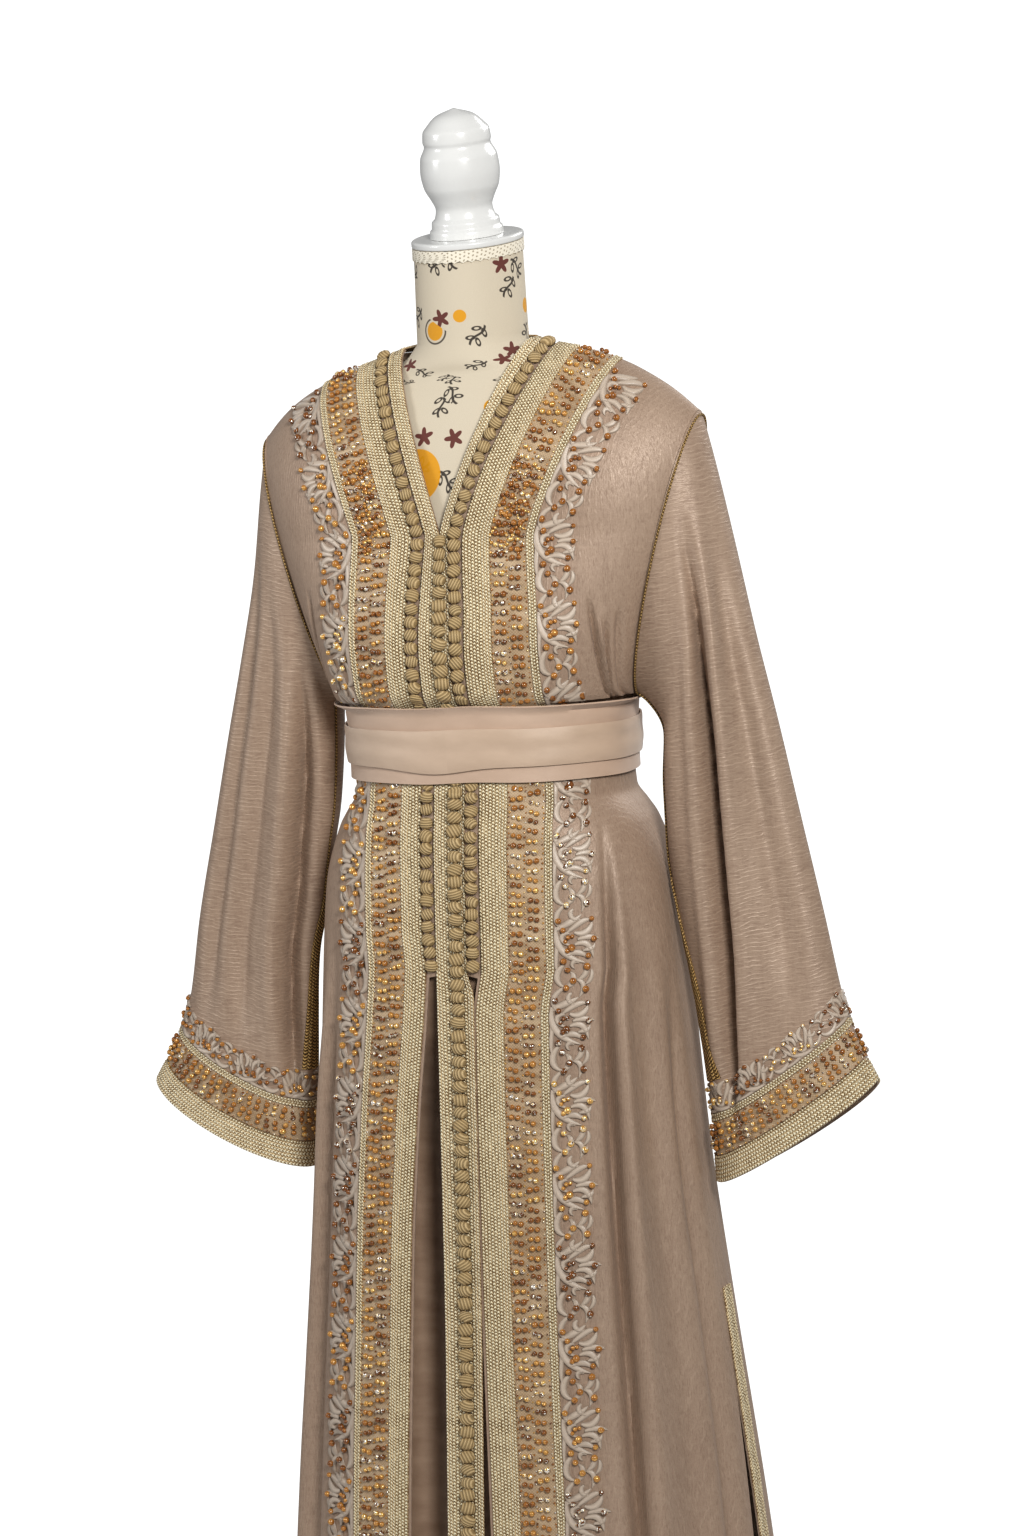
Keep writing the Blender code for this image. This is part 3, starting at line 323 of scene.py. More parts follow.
def shellMesh(name, outer, inner, uv, closed=False):
    # a thin wall between two grids; uv has one more column than the points where it is closed
    rowCount, columnCount = outer.shape[:2]
    count, wide = rowCount * columnCount, columnCount + closed
    cells, flat = gridCells(rowCount, columnCount, closed)
    turn = windingOf(outer, cells, (outer - inner).reshape(-1, 3)[cells[:, 0]])
    uvTable = uv.reshape(-1, 2)
    faces = [cells[:, ::turn], cells[:, ::-turn] + count]
    uvs = [uvTable[flat[:, ::turn]], uvTable[flat[:, ::-turn]]]

    def rim(a, b, flatA, flatB, way):
        faces.append(np.stack([b, a, a + count, b + count], axis=1)[:, ::way * turn])
        uvs.append(uvTable[np.stack([flatB, flatA, flatA, flatB], axis=1)[:, ::way * turn]])

    steps = np.arange(columnCount - (not closed))
    for row, way in ((0, 1), (rowCount - 1, -1)):
        first, flatFirst = row * columnCount, row * wide + steps
        rim(first + steps, first + (steps + 1) % columnCount, flatFirst, flatFirst + 1, way)
    if not closed:
        for column, way in ((0, -1), (columnCount - 1, 1)):
            a = np.arange(rowCount - 1) * columnCount + column
            rim(a, a + columnCount, a, a + columnCount, way)
    mesh = makeMesh(name, np.concatenate([outer.reshape(-1, 3), inner.reshape(-1, 3)]), faces, uvs)
    mesh.set_sharp_from_angle(angle=math.radians(60))
    return mesh


def loftMesh(name, sections, uv, closedAlong=False):
    # a solid through closed sections; uv has one more column, and one more row if closed along
    count, around = sections.shape[:2]
    cells, flat = gridCells(count + closedAlong, around, True)
    cells = cells % (count * around)
    centres = sections.mean(axis=1)[cells[:, 0] // around]
    turn = windingOf(sections, cells, sections.reshape(-1, 3)[cells[:, 0]] - centres)
    uvTable = uv.reshape(-1, 2)
    faces, uvs = [cells[:, ::turn]], [uvTable[flat[:, ::turn]]]
    if not closedAlong:
        for row, way in ((0, 1), (count - 1, -1)):
            cap = np.arange(around)[None, ::-way * turn]
            faces.append(row * around + cap)
            uvs.append(uvTable[row * (around + 1) + cap])
    mesh = makeMesh(name, sections.reshape(-1, 3), faces, uvs)
    mesh.set_sharp_from_angle(angle=math.radians(60))
    return mesh


def uvGrid(across, up):
    return np.stack(np.broadcast_arrays(across[None, :], up[:, None]), axis=2)


class Cloth:  # a grid of points up and across a panel, with the way out of the cloth at each
    def __init__(self, points, normals=None, closed=False):
        self.points, self.closed = points, closed
        self.normals = self.facing() if normals is None else normals

    def facing(self):
        if self.closed:
            across = np.roll(self.points, -1, axis=1) - np.roll(self.points, 1, axis=1)
            away = self.points - self.points.mean(axis=1, keepdims=True)
        else:
            across = np.gradient(self.points, axis=1)
            away = self.points * (1, 1, 0)
        return outward(np.cross(across, np.gradient(self.points, axis=0)), away)

    def mirrored(self):
        return Cloth(mirror(self.points), mirror(self.normals), self.closed)

    def wrapped(self):  # a closed panel with its first column once more at the end
        again = self.points[:, :1] if self.closed else self.points[:, :0]
        return np.concatenate([self.points, again], axis=1)

    def uv(self):  # distance round from the first column, and distance up the first row's line
        points = self.wrapped()
        steps = np.linalg.norm(np.diff(points, axis=1), axis=2)
        u = np.concatenate([np.zeros((len(points), 1)), np.cumsum(steps, axis=1)], axis=1)
        up = np.linalg.norm(np.diff(points, axis=0), axis=2).mean(axis=1)
        v = np.concatenate([[0], np.cumsum(up)])
        return np.stack([u, np.broadcast_to(v[:, None], u.shape)], axis=2)

    def area(self):
        points = self.wrapped()
        one = np.cross(points[1:, 1:] - points[:-1, :-1], points[1:, :-1] - points[:-1, 1:])
        return float(np.linalg.norm(one, axis=2).sum() / 2)

    def track(self, rowRange, first, last):
        return Track(self.points[rowRange, first:last + 1], self.normals[rowRange, first:last + 1])


class Track:  # a strip of cloth: x across it from its left edge, y along it, z off the cloth
    end = 15  # across is square to along, except at this much of an open strip's ends

    def __init__(self, points, normals, closed=False, inset=0.15):
        if closed:
            points = np.concatenate([points, points[:1]])
            normals = np.concatenate([normals, normals[:1]])
        self.points, self.normals, self.closed, self.inset = points, normals, closed, inset
        widths = np.linalg.norm(np.diff(points, axis=1), axis=2)
        self.shares = np.concatenate([[0], np.cumsum(widths.mean(axis=0))])
        self.width = float(self.shares[-1])
        self.shares = self.shares / self.width
        middle = (points[:, 0] + points[:, -1]) / 2
        self.run = runOf(middle)
        self.length = float(self.run[-1])
        way = unit(np.gradient(middle, axis=0))
        across = unit(points[:, -1] - points[:, 0])
        self.slant = (way * across).sum(axis=1)
        self.handed = (np.cross(across, way) * normals[:, 0]).sum()

    def at(self, x, y, z):
        x, y, z = (np.asarray(value, float) for value in (x, y, z))
        ends = 1 if self.closed else np.clip(np.minimum(y, self.length - y) / self.end, 0, 1)
        y = y - (x - self.width / 2) * np.interp(y, self.run, self.slant) * ends
        y = y % self.length if self.closed else np.clip(y, 0, self.length)
        row = np.interp(y, self.run, np.arange(len(self.run)))
        share = np.clip(x / self.width, self.inset / self.width, 1 - self.inset / self.width)
        column = np.interp(share, self.shares, np.arange(len(self.shares)))
        r = np.minimum(row.astype(int), len(self.run) - 2)
        c = np.minimum(column.astype(int), len(self.shares) - 2)
        fr, fc = (row - r)[..., None], (column - c)[..., None]
        blend = []
        for grid in (self.points, self.normals):
            low = grid[r, c] * (1 - fc) + grid[r, c + 1] * fc
            high = grid[r + 1, c] * (1 - fc) + grid[r + 1, c + 1] * fc
            blend.append(low * (1 - fr) + high * fr)
        return blend[0] + unit(blend[1]) * z[..., None]


def evenPlaces(length, step, closed):  # and the same with the full length added if it is closed
    count = max(int(length / step), 3)
    places = np.linspace(0, length, count + (not closed), endpoint=not closed)
    return places, np.append(places, length) if closed else places


beltHeights = {"low": 1018.5, "high": 1100, "below": (-10, -3), "above": (2, 9), "press": 0.8}


def underBelt(track, y):  # what is left of a trim's height under the belt
    z = track.at(np.full(len(y), track.width / 2), y, np.zeros(len(y)))[:, 2]
    under = ease(*beltHeights["below"], z - beltHeights["low"])
    under = under * (1 - ease(*beltHeights["above"], z - beltHeights["high"]))
    return 1 - beltHeights["press"] * under


def laidOn(track, mesh, points, lift):
    # bends a flat mesh onto a track, pressed flatter where the belt lies on it
    height = points[:, 2] * underBelt(track, np.clip(points[:, 1], 0, track.length))
    bent = track.at(points[:, 0], points[:, 1], height + lift)
    mesh.vertices.foreach_set("co", (bent * mm).ravel())
    if track.handed < 0:
        mesh.flip_normals()
    mesh.update()


class Tree:  # builds nodes of one tree: settings first, then values or links by socket
    def __init__(self, group, material=None):
        self.group, self.material = group, material

    def node(self, kind, settings=None, sockets=None, out=0):
        made = self.group.nodes.new(kind)
        for key, value in (settings or {}).items():
            if key == "stops":
                ramp = made.color_ramp
                while len(ramp.elements) > 1:
                    ramp.elements.remove(ramp.elements[-1])
                for k, (place, colour) in enumerate(value):
                    stop = ramp.elements[0] if k == 0 else ramp.elements.new(place)
                    stop.position, stop.color = place, colour
            else:
                setattr(made, key, value)
        for key, value in (sockets or {}).items():
            self.feed(made.inputs[key], value)
        return Wire(self, made.outputs[out])

    def feed(self, socket, value):
        if isinstance(value, Wire):
            self.group.links.new(value.socket, socket)
        else:
            socket.default_value = value

    def math(self, operation, *values):
        return self.node("ShaderNodeMath", {"operation": operation}, dict(enumerate(values)))

    def absolute(self, value):
        return self.math("ABSOLUTE", value)

    def root(self, value):
        return self.math("SQRT", value)

    def fromMiddle(self, value):  # how far a repeat is from its own middle, 0 to 0.5
        return self.absolute(self.math("FRACT", value) - 0.5)

    def vector(self, operation, *values):
        return self.node("ShaderNodeVectorMath", {"operation": operation}, dict(enumerate(values)))

    def scaled(self, wire, factors):  # a coordinate stretched along its axes
        return self.vector("MULTIPLY", wire, factors)

    def mix(self, share, first, second):
        return self.node("ShaderNodeMix", {"data_type": "RGBA"}, {0: share, 6: first, 7: second}, 2)

    def ramp(self, stops, value):
        return self.node("ShaderNodeValToRGB", {"stops": stops}, {0: value})

    def noise(self, where, scale, detail=3.0, rough=0.55, out=0):
        return self.node("ShaderNodeTexNoise", {}, {"Vector": where, "Scale": scale,
                                                    "Detail": detail, "Roughness": rough}, out)

    def grain(self, x, y, detail=1.0, z=0.0):
        return self.noise(self.joined(x, y, z), 1.0, detail)

    def smooth(self, low, high, value):
        return self.node("ShaderNodeMapRange", {"interpolation_type": "SMOOTHSTEP"},
                         {0: value, 1: low, 2: high, 3: 0.0, 4: 1.0})

    def axes(self, wire):
        apart = self.group.nodes.new("ShaderNodeSeparateXYZ")
        self.feed(apart.inputs[0], wire)
        return [Wire(self, apart.outputs[k]) for k in range(3)]

    def joined(self, x, y, z=0.0):
        return self.node("ShaderNodeCombineXYZ", {}, {0: x, 1: y, 2: z})

    def uv(self):
        return self.node("ShaderNodeUVMap", {"uv_map": "UVMap"})

    def place(self):  # the piece's own coordinates
        return self.node("ShaderNodeTexCoord", out=3)

    def attribute(self, name, out):
        return self.node("ShaderNodeAttribute", {"attribute_name": name}, out=out)

    def random(self, kind, low, high, seed, out):
        sockets = {0: low, 1: high} if kind == "FLOAT_VECTOR" else {2: low, 3: high}
        return self.node("FunctionNodeRandomValue", {"data_type": kind},
                         {**sockets, "Seed": seed}, out)

    def bump(self, height, distance, strength):
        return self.node("ShaderNodeBump", {}, {"Height": height, "Distance": distance,
                                                "Strength": strength})

    def finish(self, wires):  # what changes over the surface, by the shader's sockets
        for key, wire in wires.items():
            self.feed(self.group.nodes["Principled BSDF"].inputs[key], wire)
        return self.material


class Wire:
    def __init__(self, tree, socket):
        self.tree, self.socket = tree, socket

    def __add__(self, other):
        return self.tree.math("ADD", self, other)

    def __sub__(self, other):
        return self.tree.math("SUBTRACT", self, other)

    def __rsub__(self, other):
        return self.tree.math("SUBTRACT", other, self)

    def __mul__(self, other):
        return self.tree.math("MULTIPLY", self, other)

    def __truediv__(self, other):
        return self.tree.math("DIVIDE", self, other)

    __radd__, __rmul__ = __add__, __mul__


def paint(red, green, blue):  # a display colour, 0 to 255, as a shader colour
    def linear(value):
        value = value / 255
        return value / 12.92 if value < 0.04045 else ((value + 0.055) / 1.055) ** 2.4
    return (linear(red), linear(green), linear(blue), 1.0)


def newMaterial(name, colour, roughness, **fixed):
    # the tree of a Principled material; what is the same all over is set on its own sockets
    material = bpy.data.materials.new(name)
    material.use_nodes = True
    material.diffuse_color = colour
    fixed.update({"Base Color": colour, "Roughness": roughness})
    for key, value in fixed.items():
        socket = key.replace("_", " ")
        material.node_tree.nodes["Principled BSDF"].inputs[socket].default_value = value
    return Tree(material.node_tree, material)


satinLook = {
    "light": paint(212, 190, 168), "middle": paint(150, 127, 110), "dark": paint(112, 90, 75),
    "wave": 0.005, "slubDepth": 0.0004, "roughness": (0.42, 0.58), "metal": 0.10,
    "crinkle": 0.0042, "calm": 0.70,
}


def satinMaterial(name, look, stretch, upright):
    # slub satin: long thin slubs one way, wavy and broken, over a fine weave, and fine crinkles
    # across; stretch is the size of a slub along X, Y and Z
    low, high = look["roughness"]
    tree = newMaterial(name, look["middle"], low, Metallic=look["metal"], Specular_IOR_Level=0.4,
                       Sheen_Weight=0.06)

    def finer(share, sizes=stretch):
        return tuple(share / size for size in sizes)

    where = tree.place()
    drift = tree.noise(where, 22.0, 2.0, out=1)
    wavy = tree.vector("ADD", where, tree.scaled(drift, (look["wave"],) * 3))
    slubs = tree.noise(tree.scaled(wavy, finer(1)), 1.0, 3.0, 0.62)
    streaks = tree.smooth(0.55, 1.0, 1.0 - tree.absolute(slubs - 0.5) * 5.0)
    other = tree.noise(tree.scaled(wavy, finer(0.55, stretch[::-1])), 1.0, 2.0)
    weave = tree.noise(where, 900.0, 1.0)
    broad = tree.noise(tree.scaled(wavy, (26.0, 26.0, 7.0)), 1.0, 2.0)
    x, y, z = tree.axes(wavy)
    level = x - y * 0.6 if upright else z - tree.absolute(x) * 0.2
    sway = tree.noise(where, 60.0, 2.0) * 0.008
    wave = tree.fromMiddle((level + sway) / look["crinkle"]) * 2.0
    broken = tree.smooth(0.36, 0.58, tree.noise(tree.scaled(where, finer(0.5)), 1.0, 2.0))
    crinkles = tree.smooth(0.45, 1.0, wave) * broken
    tone = slubs * 0.42 + other * 0.18 + weave * 0.18 + broad * 0.22
    shade = tree.mix(tree.smooth(0.25, 0.75, tone), look["dark"], look["light"])
    colour = tree.mix(look["calm"], shade, look["middle"])
    # painted sheen: the colour is lighter along the slubs' crests and on the crinkles' ridges,
    # standing in for their highlights
    paintedSheen = streaks * 0.12 + crinkles * (0.10 if upright else 0.24)
    height = slubs * 0.6 + weave * 0.2 + crinkles * 0.5
    return tree.finish({"Base Color": tree.mix(paintedSheen, colour, look["light"]),
                        "Roughness": high - (high - low) * streaks,
                        "Normal": tree.bump(height, look["slubDepth"], 0.9)})


braidLook = {
    "light": paint(255, 246, 216), "middle": paint(255, 232, 187), "dark": paint(112, 80, 42),
    "column": 0.0036, "stitch": 0.0033, "slant": 0.8, "depth": 0.0018,
}
cordLook = {**braidLook, "light": paint(255, 247, 220), "middle": paint(255, 234, 192),
            "dark": paint(120, 88, 50), "slant": 1.1, "depth": 0.0014}
# a darker, browner copy of the cord's colours: painted shade for the under-seam braids under the
# arm; the sewn cords use it too
shadedSeamLook = {**cordLook, "light": paint(214, 180, 122), "middle": paint(156, 124, 76),
            "dark": paint(54, 38, 18)}


def braidMaterial(name, look, rounded):
    # columns of slanting stitches with small holes between; on a cord the strands wind round it
    tree = newMaterial(name, look["middle"], 0.5, Specular_IOR_Level=0.25)
    uv = tree.uv()
    loose = tree.vector("SUBTRACT", tree.noise(uv, 150.0, 2.0, out=1), (0.5, 0.5, 0.5))
    u, v, _ = tree.axes(tree.vector("ADD", uv, tree.scaled(loose, (0.0011, 0.0022, 0))))
    across = u / look["column"]
    sway = tree.fromMiddle(across)
    strand = v / look["stitch"] + sway * look["slant"] + tree.math("FLOOR", across) * 0.47
    crown = 1.0 - tree.smooth(0.18, 0.5, sway) * rounded
    height = crown * tree.smooth(0.10, 0.75, tree.fromMiddle(strand) * 2.0)
    fibre = tree.grain(u / 0.0007, v / 0.0018)
    age = tree.noise(uv, 24.0, 2.0)
    worn = tree.grain(u / 0.003, v / 0.012, 2.0, 5.0)
    # painted light: the colour follows the stitches' height, a painted highlight on their crowns
    # and painted shade in the holes and down the columns' sides
    tone = height * 0.92 + (fibre - 0.5) * 0.5 + (age - 0.5) * 0.2 + (worn - 0.5) * 0.4 + 0.1
    shade = tree.ramp(((0.08, look["dark"]), (0.38, look["middle"]), (0.62, look["middle"]),
                       (1.0, look["light"])), tone)
    return tree.finish({"Base Color": shade, "Roughness": 0.62 - 0.25 * tone,
                        "Normal": tree.bump(height + fibre * 0.2, look["depth"], 1.0)})


knotLook = {
    "light": paint(212, 188, 145), "middle": paint(158, 135, 97), "dark": paint(34, 24, 12),
    "warm": paint(170, 142, 96), "thread": 0.0026,
}


def knotMaterial(name, look):
    # cord wound round and round: fine threads that run another way on every knot, with painted
    # shade in the grooves between threads and at the knot's foot
    tree = newMaterial(name, look["middle"], 0.6, Sheen_Weight=0.05, Specular_IOR_Level=0.3)
    x, y, z = tree.axes(tree.attribute("thread", 1))
    tint = tree.attribute("tint", 2)
    angle = tint * 5.0 - 0.6
    level = y * tree.math("SINE", angle) + x * tree.math("COSINE", angle) + z * 0.35
    lines = tree.math("SINE", level * (fullTurn / look["thread"])) * 0.5 + 0.5
    # painted shade: darker towards the knot's foot where it meets the cloth, and in the grooves
    # between the threads
    edge = tree.smooth(-0.0002, 0.0034, z)
    tone = (0.36 + 0.54 * lines) * (0.06 + 0.94 * edge)
    shade = tree.ramp(((0.0, look["dark"]), (0.5, look["middle"]), (1.0, look["light"])), tone)
    return tree.finish({"Base Color": tree.mix(tint * 0.22, shade, look["warm"]),
                        "Normal": tree.bump(lines, 0.0008, 0.9)})


beadLook = {
    "stops": ((0.0, paint(88, 54, 26)), (0.22, paint(134, 82, 36)), (0.5, paint(176, 120, 56)),
              (0.72, paint(208, 158, 86)), (0.86, paint(240, 204, 128)),
              (0.95, paint(246, 242, 234))),
}


def beadMaterial(name, look):
    # cut glass and metal beads, from brown and amber to gold, with a few of silver
    tree = newMaterial(name, look["stops"][1][1], 0.18, Coat_Weight=0.5, Coat_Roughness=0.06,
                       Specular_IOR_Level=0.55)
    wander = tree.noise(tree.place(), 330.0, 1.0)
    pick = tree.math("FRACT", tree.attribute("tint", 2) * 7.31 + wander * 0.9)
    return tree.finish({"Base Color": tree.ramp(look["stops"], pick),
                        "Metallic": tree.smooth(0.45, 0.8, pick) * 0.4})


ribbonLook = {
    "light": paint(206, 191, 175), "middle": paint(178, 160, 142), "dark": paint(92, 72, 56),
}


def ribbonMaterial(name, look):
    # satin ribbon laid in curves: a painted highlight along the crown and painted shade at the
    # turned edges
    tree = newMaterial(name, look["middle"], 0.38, Sheen_Weight=0.3, Specular_IOR_Level=0.5)
    u, v, _ = tree.axes(tree.uv())
    across = tree.absolute(u / 0.01 - 0.5) * 2.0
    fine = tree.grain(u / 0.0008, v / 0.01, 2.0)
    # painted light: lighter towards the middle of the ribbon's width, darker towards its edges
    tone = tree.smooth(0.0, 1.0, (1.0 - across * 0.75) * 0.8 + fine * 0.3)
    shade = tree.mix(tone, look["dark"], look["light"])
    return tree.finish({"Base Color": tree.mix(0.35, shade, look["middle"]),
                        "Normal": tree.bump(fine, 0.0002, 0.6)})


weaves = {
    # light and dark colour, roughness, size of a thread, depth of the weave
    "beltSatin": (paint(201, 178, 157), paint(185, 162, 141), 0.42, 0.0007, 0.0001),
    # the band: the belt's satin a little darker, painted shade from the wrap over it
    "shadedBandSatin": (paint(200, 175, 155), paint(186, 161, 141), 0.42, 0.0007, 0.0001),
    "innerSatin": (paint(176, 150, 128), paint(140, 114, 94), 0.45, 0.0008, 0.0001),
    "groundSatin": (paint(200, 178, 148), paint(148, 122, 92), 0.5, 0.0030, 0.0002),
}


def plainCloth(name):
    # fine even weave for the belt, the inner layer and the beads' ground
    light, dark, roughness, size, depth = weaves[name]
    tree = newMaterial(name, light, roughness, Sheen_Weight=0.3, Specular_IOR_Level=0.45)
    u, v, _ = tree.axes(tree.uv())
    threads = tree.math("SINE", u * (fullTurn / size)) * tree.math("SINE", v * (fullTurn / size))
    broad = tree.grain(u / 0.05, v / 0.02, 3.0)
    tone = tree.smooth(0.2, 0.8, broad * 0.8 + threads * 0.12 + 0.1)
    return tree.finish({"Base Color": tree.mix(tone, dark, light),
                        "Normal": tree.bump(threads * 0.5 + broad * 0.5, depth, 0.6)})


printLook = {
    "cotton": paint(216, 206, 188), "shade": paint(190, 178, 156), "ink": paint(40, 34, 32),
    "yellow": paint(214, 152, 24), "red": paint(92, 26, 24), "cell": 0.037,
    "wideDisc": (-0.030, 0.530, 0.0),  # the middle of the one large disc, in metres of cloth
}


def printMaterial(name, look):
    # cream cotton with a scattered print of sprigs, discs and small flowers
    tree = newMaterial(name, look["cotton"], 0.85, Sheen_Weight=0.1, Specular_IOR_Level=0.25)
    u, v, _ = tree.axes(tree.uv())
    flat = tree.joined(u, v)
    scale = 1 / look["cell"]

    def cell(out):  # 1 a random colour, 2 the place of each motif
        return tree.node("ShaderNodeTexVoronoi", {"voronoi_dimensions": "2D"},
                         {"Vector": flat, "Scale": scale, "Randomness": 0.8}, out)

    def drawn(low, high, value):
        return 1.0 - tree.smooth(low, high, value)

    spin, size, kind = tree.axes(cell(1))
    dx, dy, _ = tree.axes(tree.scaled(tree.vector("SUBTRACT", flat, cell(2)), (scale, scale, 1)))
    angle = spin * fullTurn
    cosine, sine = tree.math("COSINE", angle), tree.math("SINE", angle)
    x = dx * cosine + dy * sine
    y = dy * cosine - dx * sine
    inside = drawn(0.33, 0.36, tree.absolute(y))
    stem = drawn(0.022, 0.048, tree.absolute(x - tree.math("SINE", y * 8.0) * 0.07))
    leafX = tree.absolute(x) - 0.12
    leafY = (tree.math("FRACT", y * 3.2 + leafX * 1.6) - 0.5) * 0.32
    ring = tree.root(leafX * leafX + leafY * leafY * 2.2)
    leaf = drawn(0.020, 0.044, tree.absolute(ring - 0.09))
    sprig = tree.math("MAXIMUM", stem, leaf) * inside
    away = tree.root(x * x + y * y)
    petal = tree.math("COSINE", tree.math("ARCTAN2", y, x) * 5.0)
    flower = drawn(0.0, 0.02, away - 0.19 - petal * 0.08)
    disc = drawn(0.0, 0.02, away - 0.16 - size * 0.12)
    rim = drawn(0.016, 0.036, tree.absolute(away - 0.36)) * tree.smooth(0.3, 0.5, size)
    isDisc = tree.smooth(0.84, 0.85, kind)
    isFlower = tree.smooth(0.64, 0.65, kind) * (1.0 - isDisc)
    isSprig = drawn(0.64, 0.65, kind)
    wideX, wideY, _ = tree.axes(tree.vector("SUBTRACT", flat, look["wideDisc"]))
    wide = drawn(0.026, 0.027, tree.root(wideX * wideX + wideY * wideY))
    threads = tree.grain(u / 0.0009, v / 0.0005)
    colour = tree.mix(threads, look["shade"], look["cotton"])
    for share, ink in ((sprig * isSprig * 0.92, "ink"), (flower * isFlower * 0.92, "red"),
                       (disc * isDisc * 0.95, "yellow"), (rim * isDisc * 0.85, "ink"),
                       (wide * 0.95, "yellow")):
        colour = tree.mix(share, colour, look[ink])
    return tree.finish({"Base Color": colour, "Normal": tree.bump(threads, 0.0002, 0.6)})


laceLook = {
    "light": paint(246, 240, 226), "middle": paint(240, 232, 214), "dark": paint(214, 204, 182),
    "hole": paint(150, 134, 110), "wide": 0.0042, "high": 0.0038,
}


def laceMaterial(name, look):  # rows of small holes, every other row shifted by half a step
    tree = newMaterial(name, look["middle"], 0.85, Sheen_Weight=0.2)
    u, v, _ = tree.axes(tree.uv())
    across = u / look["wide"]
    x = tree.fromMiddle(across)
    y = tree.fromMiddle(v / look["high"] + tree.math("FLOOR", across) * 0.5)
    hole = 1.0 - tree.smooth(0.16, 0.26, tree.root(x * x + y * y))
    thread = tree.grain(u / 0.0006, v / 0.0006)
    base = tree.mix(thread, look["dark"], look["light"])
    # the holes are painted a darker brown: painted shade in place of the cloth seen through them
    return tree.finish({"Base Color": tree.mix(hole * 0.75, base, look["hole"]),
                        "Normal": tree.bump(thread * 0.4 - hole, 0.0006, 0.8)})


paintLook = {
    "light": paint(226, 226, 224), "middle": paint(222, 222, 220), "dark": paint(212, 212, 210),
}


def paintMaterial(name, look):  # thick white gloss paint over turned wood
    tree = newMaterial(name, look["middle"], 0.22, Coat_Weight=0.4, Coat_Roughness=0.05,
                       Specular_IOR_Level=0.5)
    where = tree.place()
    broad = tree.noise(where, 9.0, 2.0)
    fine = tree.noise(where, 160.0, 2.0)
    return tree.finish({"Base Color": tree.mix(broad, look["dark"], look["light"]),
                        "Roughness": 0.16 + fine * 0.14,
                        "Normal": tree.bump(fine * 0.6 + broad * 0.4, 0.0002, 0.5)})


satinUpright = satinMaterial("satinUpright", satinLook, (0.0013, 0.0013, 0.009), True)
satinSleeve = satinMaterial("satinSleeve", satinLook, (0.012, 0.012, 0.0016), False)
beltSatin, shadedBandSatin, innerSatin, groundSatin = (plainCloth(name) for name in weaves)
wovenBraid = braidMaterial("wovenBraid", braidLook, 0.95)
seamCord = braidMaterial("seamCord", shadedSeamLook, 0.4)
edgeCord = braidMaterial("edgeCord", cordLook, 0.7)
woundCord = knotMaterial("woundCord", knotLook)
beadGlass = beadMaterial("beadGlass", beadLook)
satinRibbon = ribbonMaterial("satinRibbon", ribbonLook)
printedCotton = printMaterial("printedCotton", printLook)
ivoryLace = laceMaterial("ivoryLace", laceLook)
whitePaint = paintMaterial("whitePaint", paintLook)
print("finishes ready")


fronts = {
    "slitTop": 835,
    # height, right edge and left edge of the slits, from the centre
    "slitEdges": ((25, 64, 32), (254, 62, 27), (540, 54, 19), (700, 42, 18), (790, 32, 18.5),
                  (835, 28, 25)),
    "sideSlitTop": 500, "sideSlitHem": 30,
    "bandStart": 34, "neckBandStart": 29.8, "slitBandStart": 3,
    "inward": {"left": 6.0, "right": 0.0},  # how much further in the left front's knots lie
    "knots": 14, "wideBraid": 23.3, "beadBand": 36.7, "narrowBraid": 8.2, "scroll": 39.7,
    "knotLift": 0.8, "knotWide": 1.1,
    "parts": (3, 2, 3, 5, 2, 5),  # columns of cloth under each trim
    "sideColumns": 52,
    # across at the bottom and top (0 border, 1 side seam), bottom, top, width, depth
    "folds": {
        "left": ((0.22, 0.13, 25, 1000, 0.050, -21), (0.34, 0.24, 25, 980, 0.07, 9),
                 (0.60, 0.46, 25, 900, 0.13, -11), (0.84, 0.76, 25, 860, 0.07, -12),
                 (0.44, 0.14, 1098, 1204, 0.038, -8), (0.52, 0.44, 1098, 1180, 0.034, -7.5),
                 (0.48, 0.30, 1098, 1184, 0.030, 4), (0.74, 0.62, 1098, 1190, 0.06, -6)),
        "right": ((0.26, 0.16, 25, 900, 0.08, -12), (0.62, 0.46, 25, 960, 0.08, -14),
                  (0.44, 0.32, 25, 860, 0.08, 7), (0.46, 0.34, 1098, 1210, 0.05, -7),
                  (0.70, 0.62, 1098, 1190, 0.06, -6)),
    },
}


def folded(points, normals, shares, folds):
    moved = np.zeros(points.shape[:2])
    heights = points[..., 2]
    for acrossLow, acrossHigh, low, high, width, depth in folds:
        rise = np.clip((heights - low) / (high - low), 0, 1)
        centre = acrossLow + (acrossHigh - acrossLow) * rise
        fade = 1 - ease(high - 0.25 * (high - low), high, heights)
        if low > body["overBelt"]:
            fade = fade * ease(low - 12, low + 6, heights)
        moved += depth * fade * np.exp(-((shares - centre) / width) ** 2)
    return points + unit(normals * (1, 1, 0)) * moved[..., None]


def bandStart(z):  # centre front to the right front's wide braid
    narrowed = ease(body["chest"] - 90, body["chest"], z)
    return fronts["bandStart"] + (fronts["neckBandStart"] - fronts["bandStart"]) * narrowed


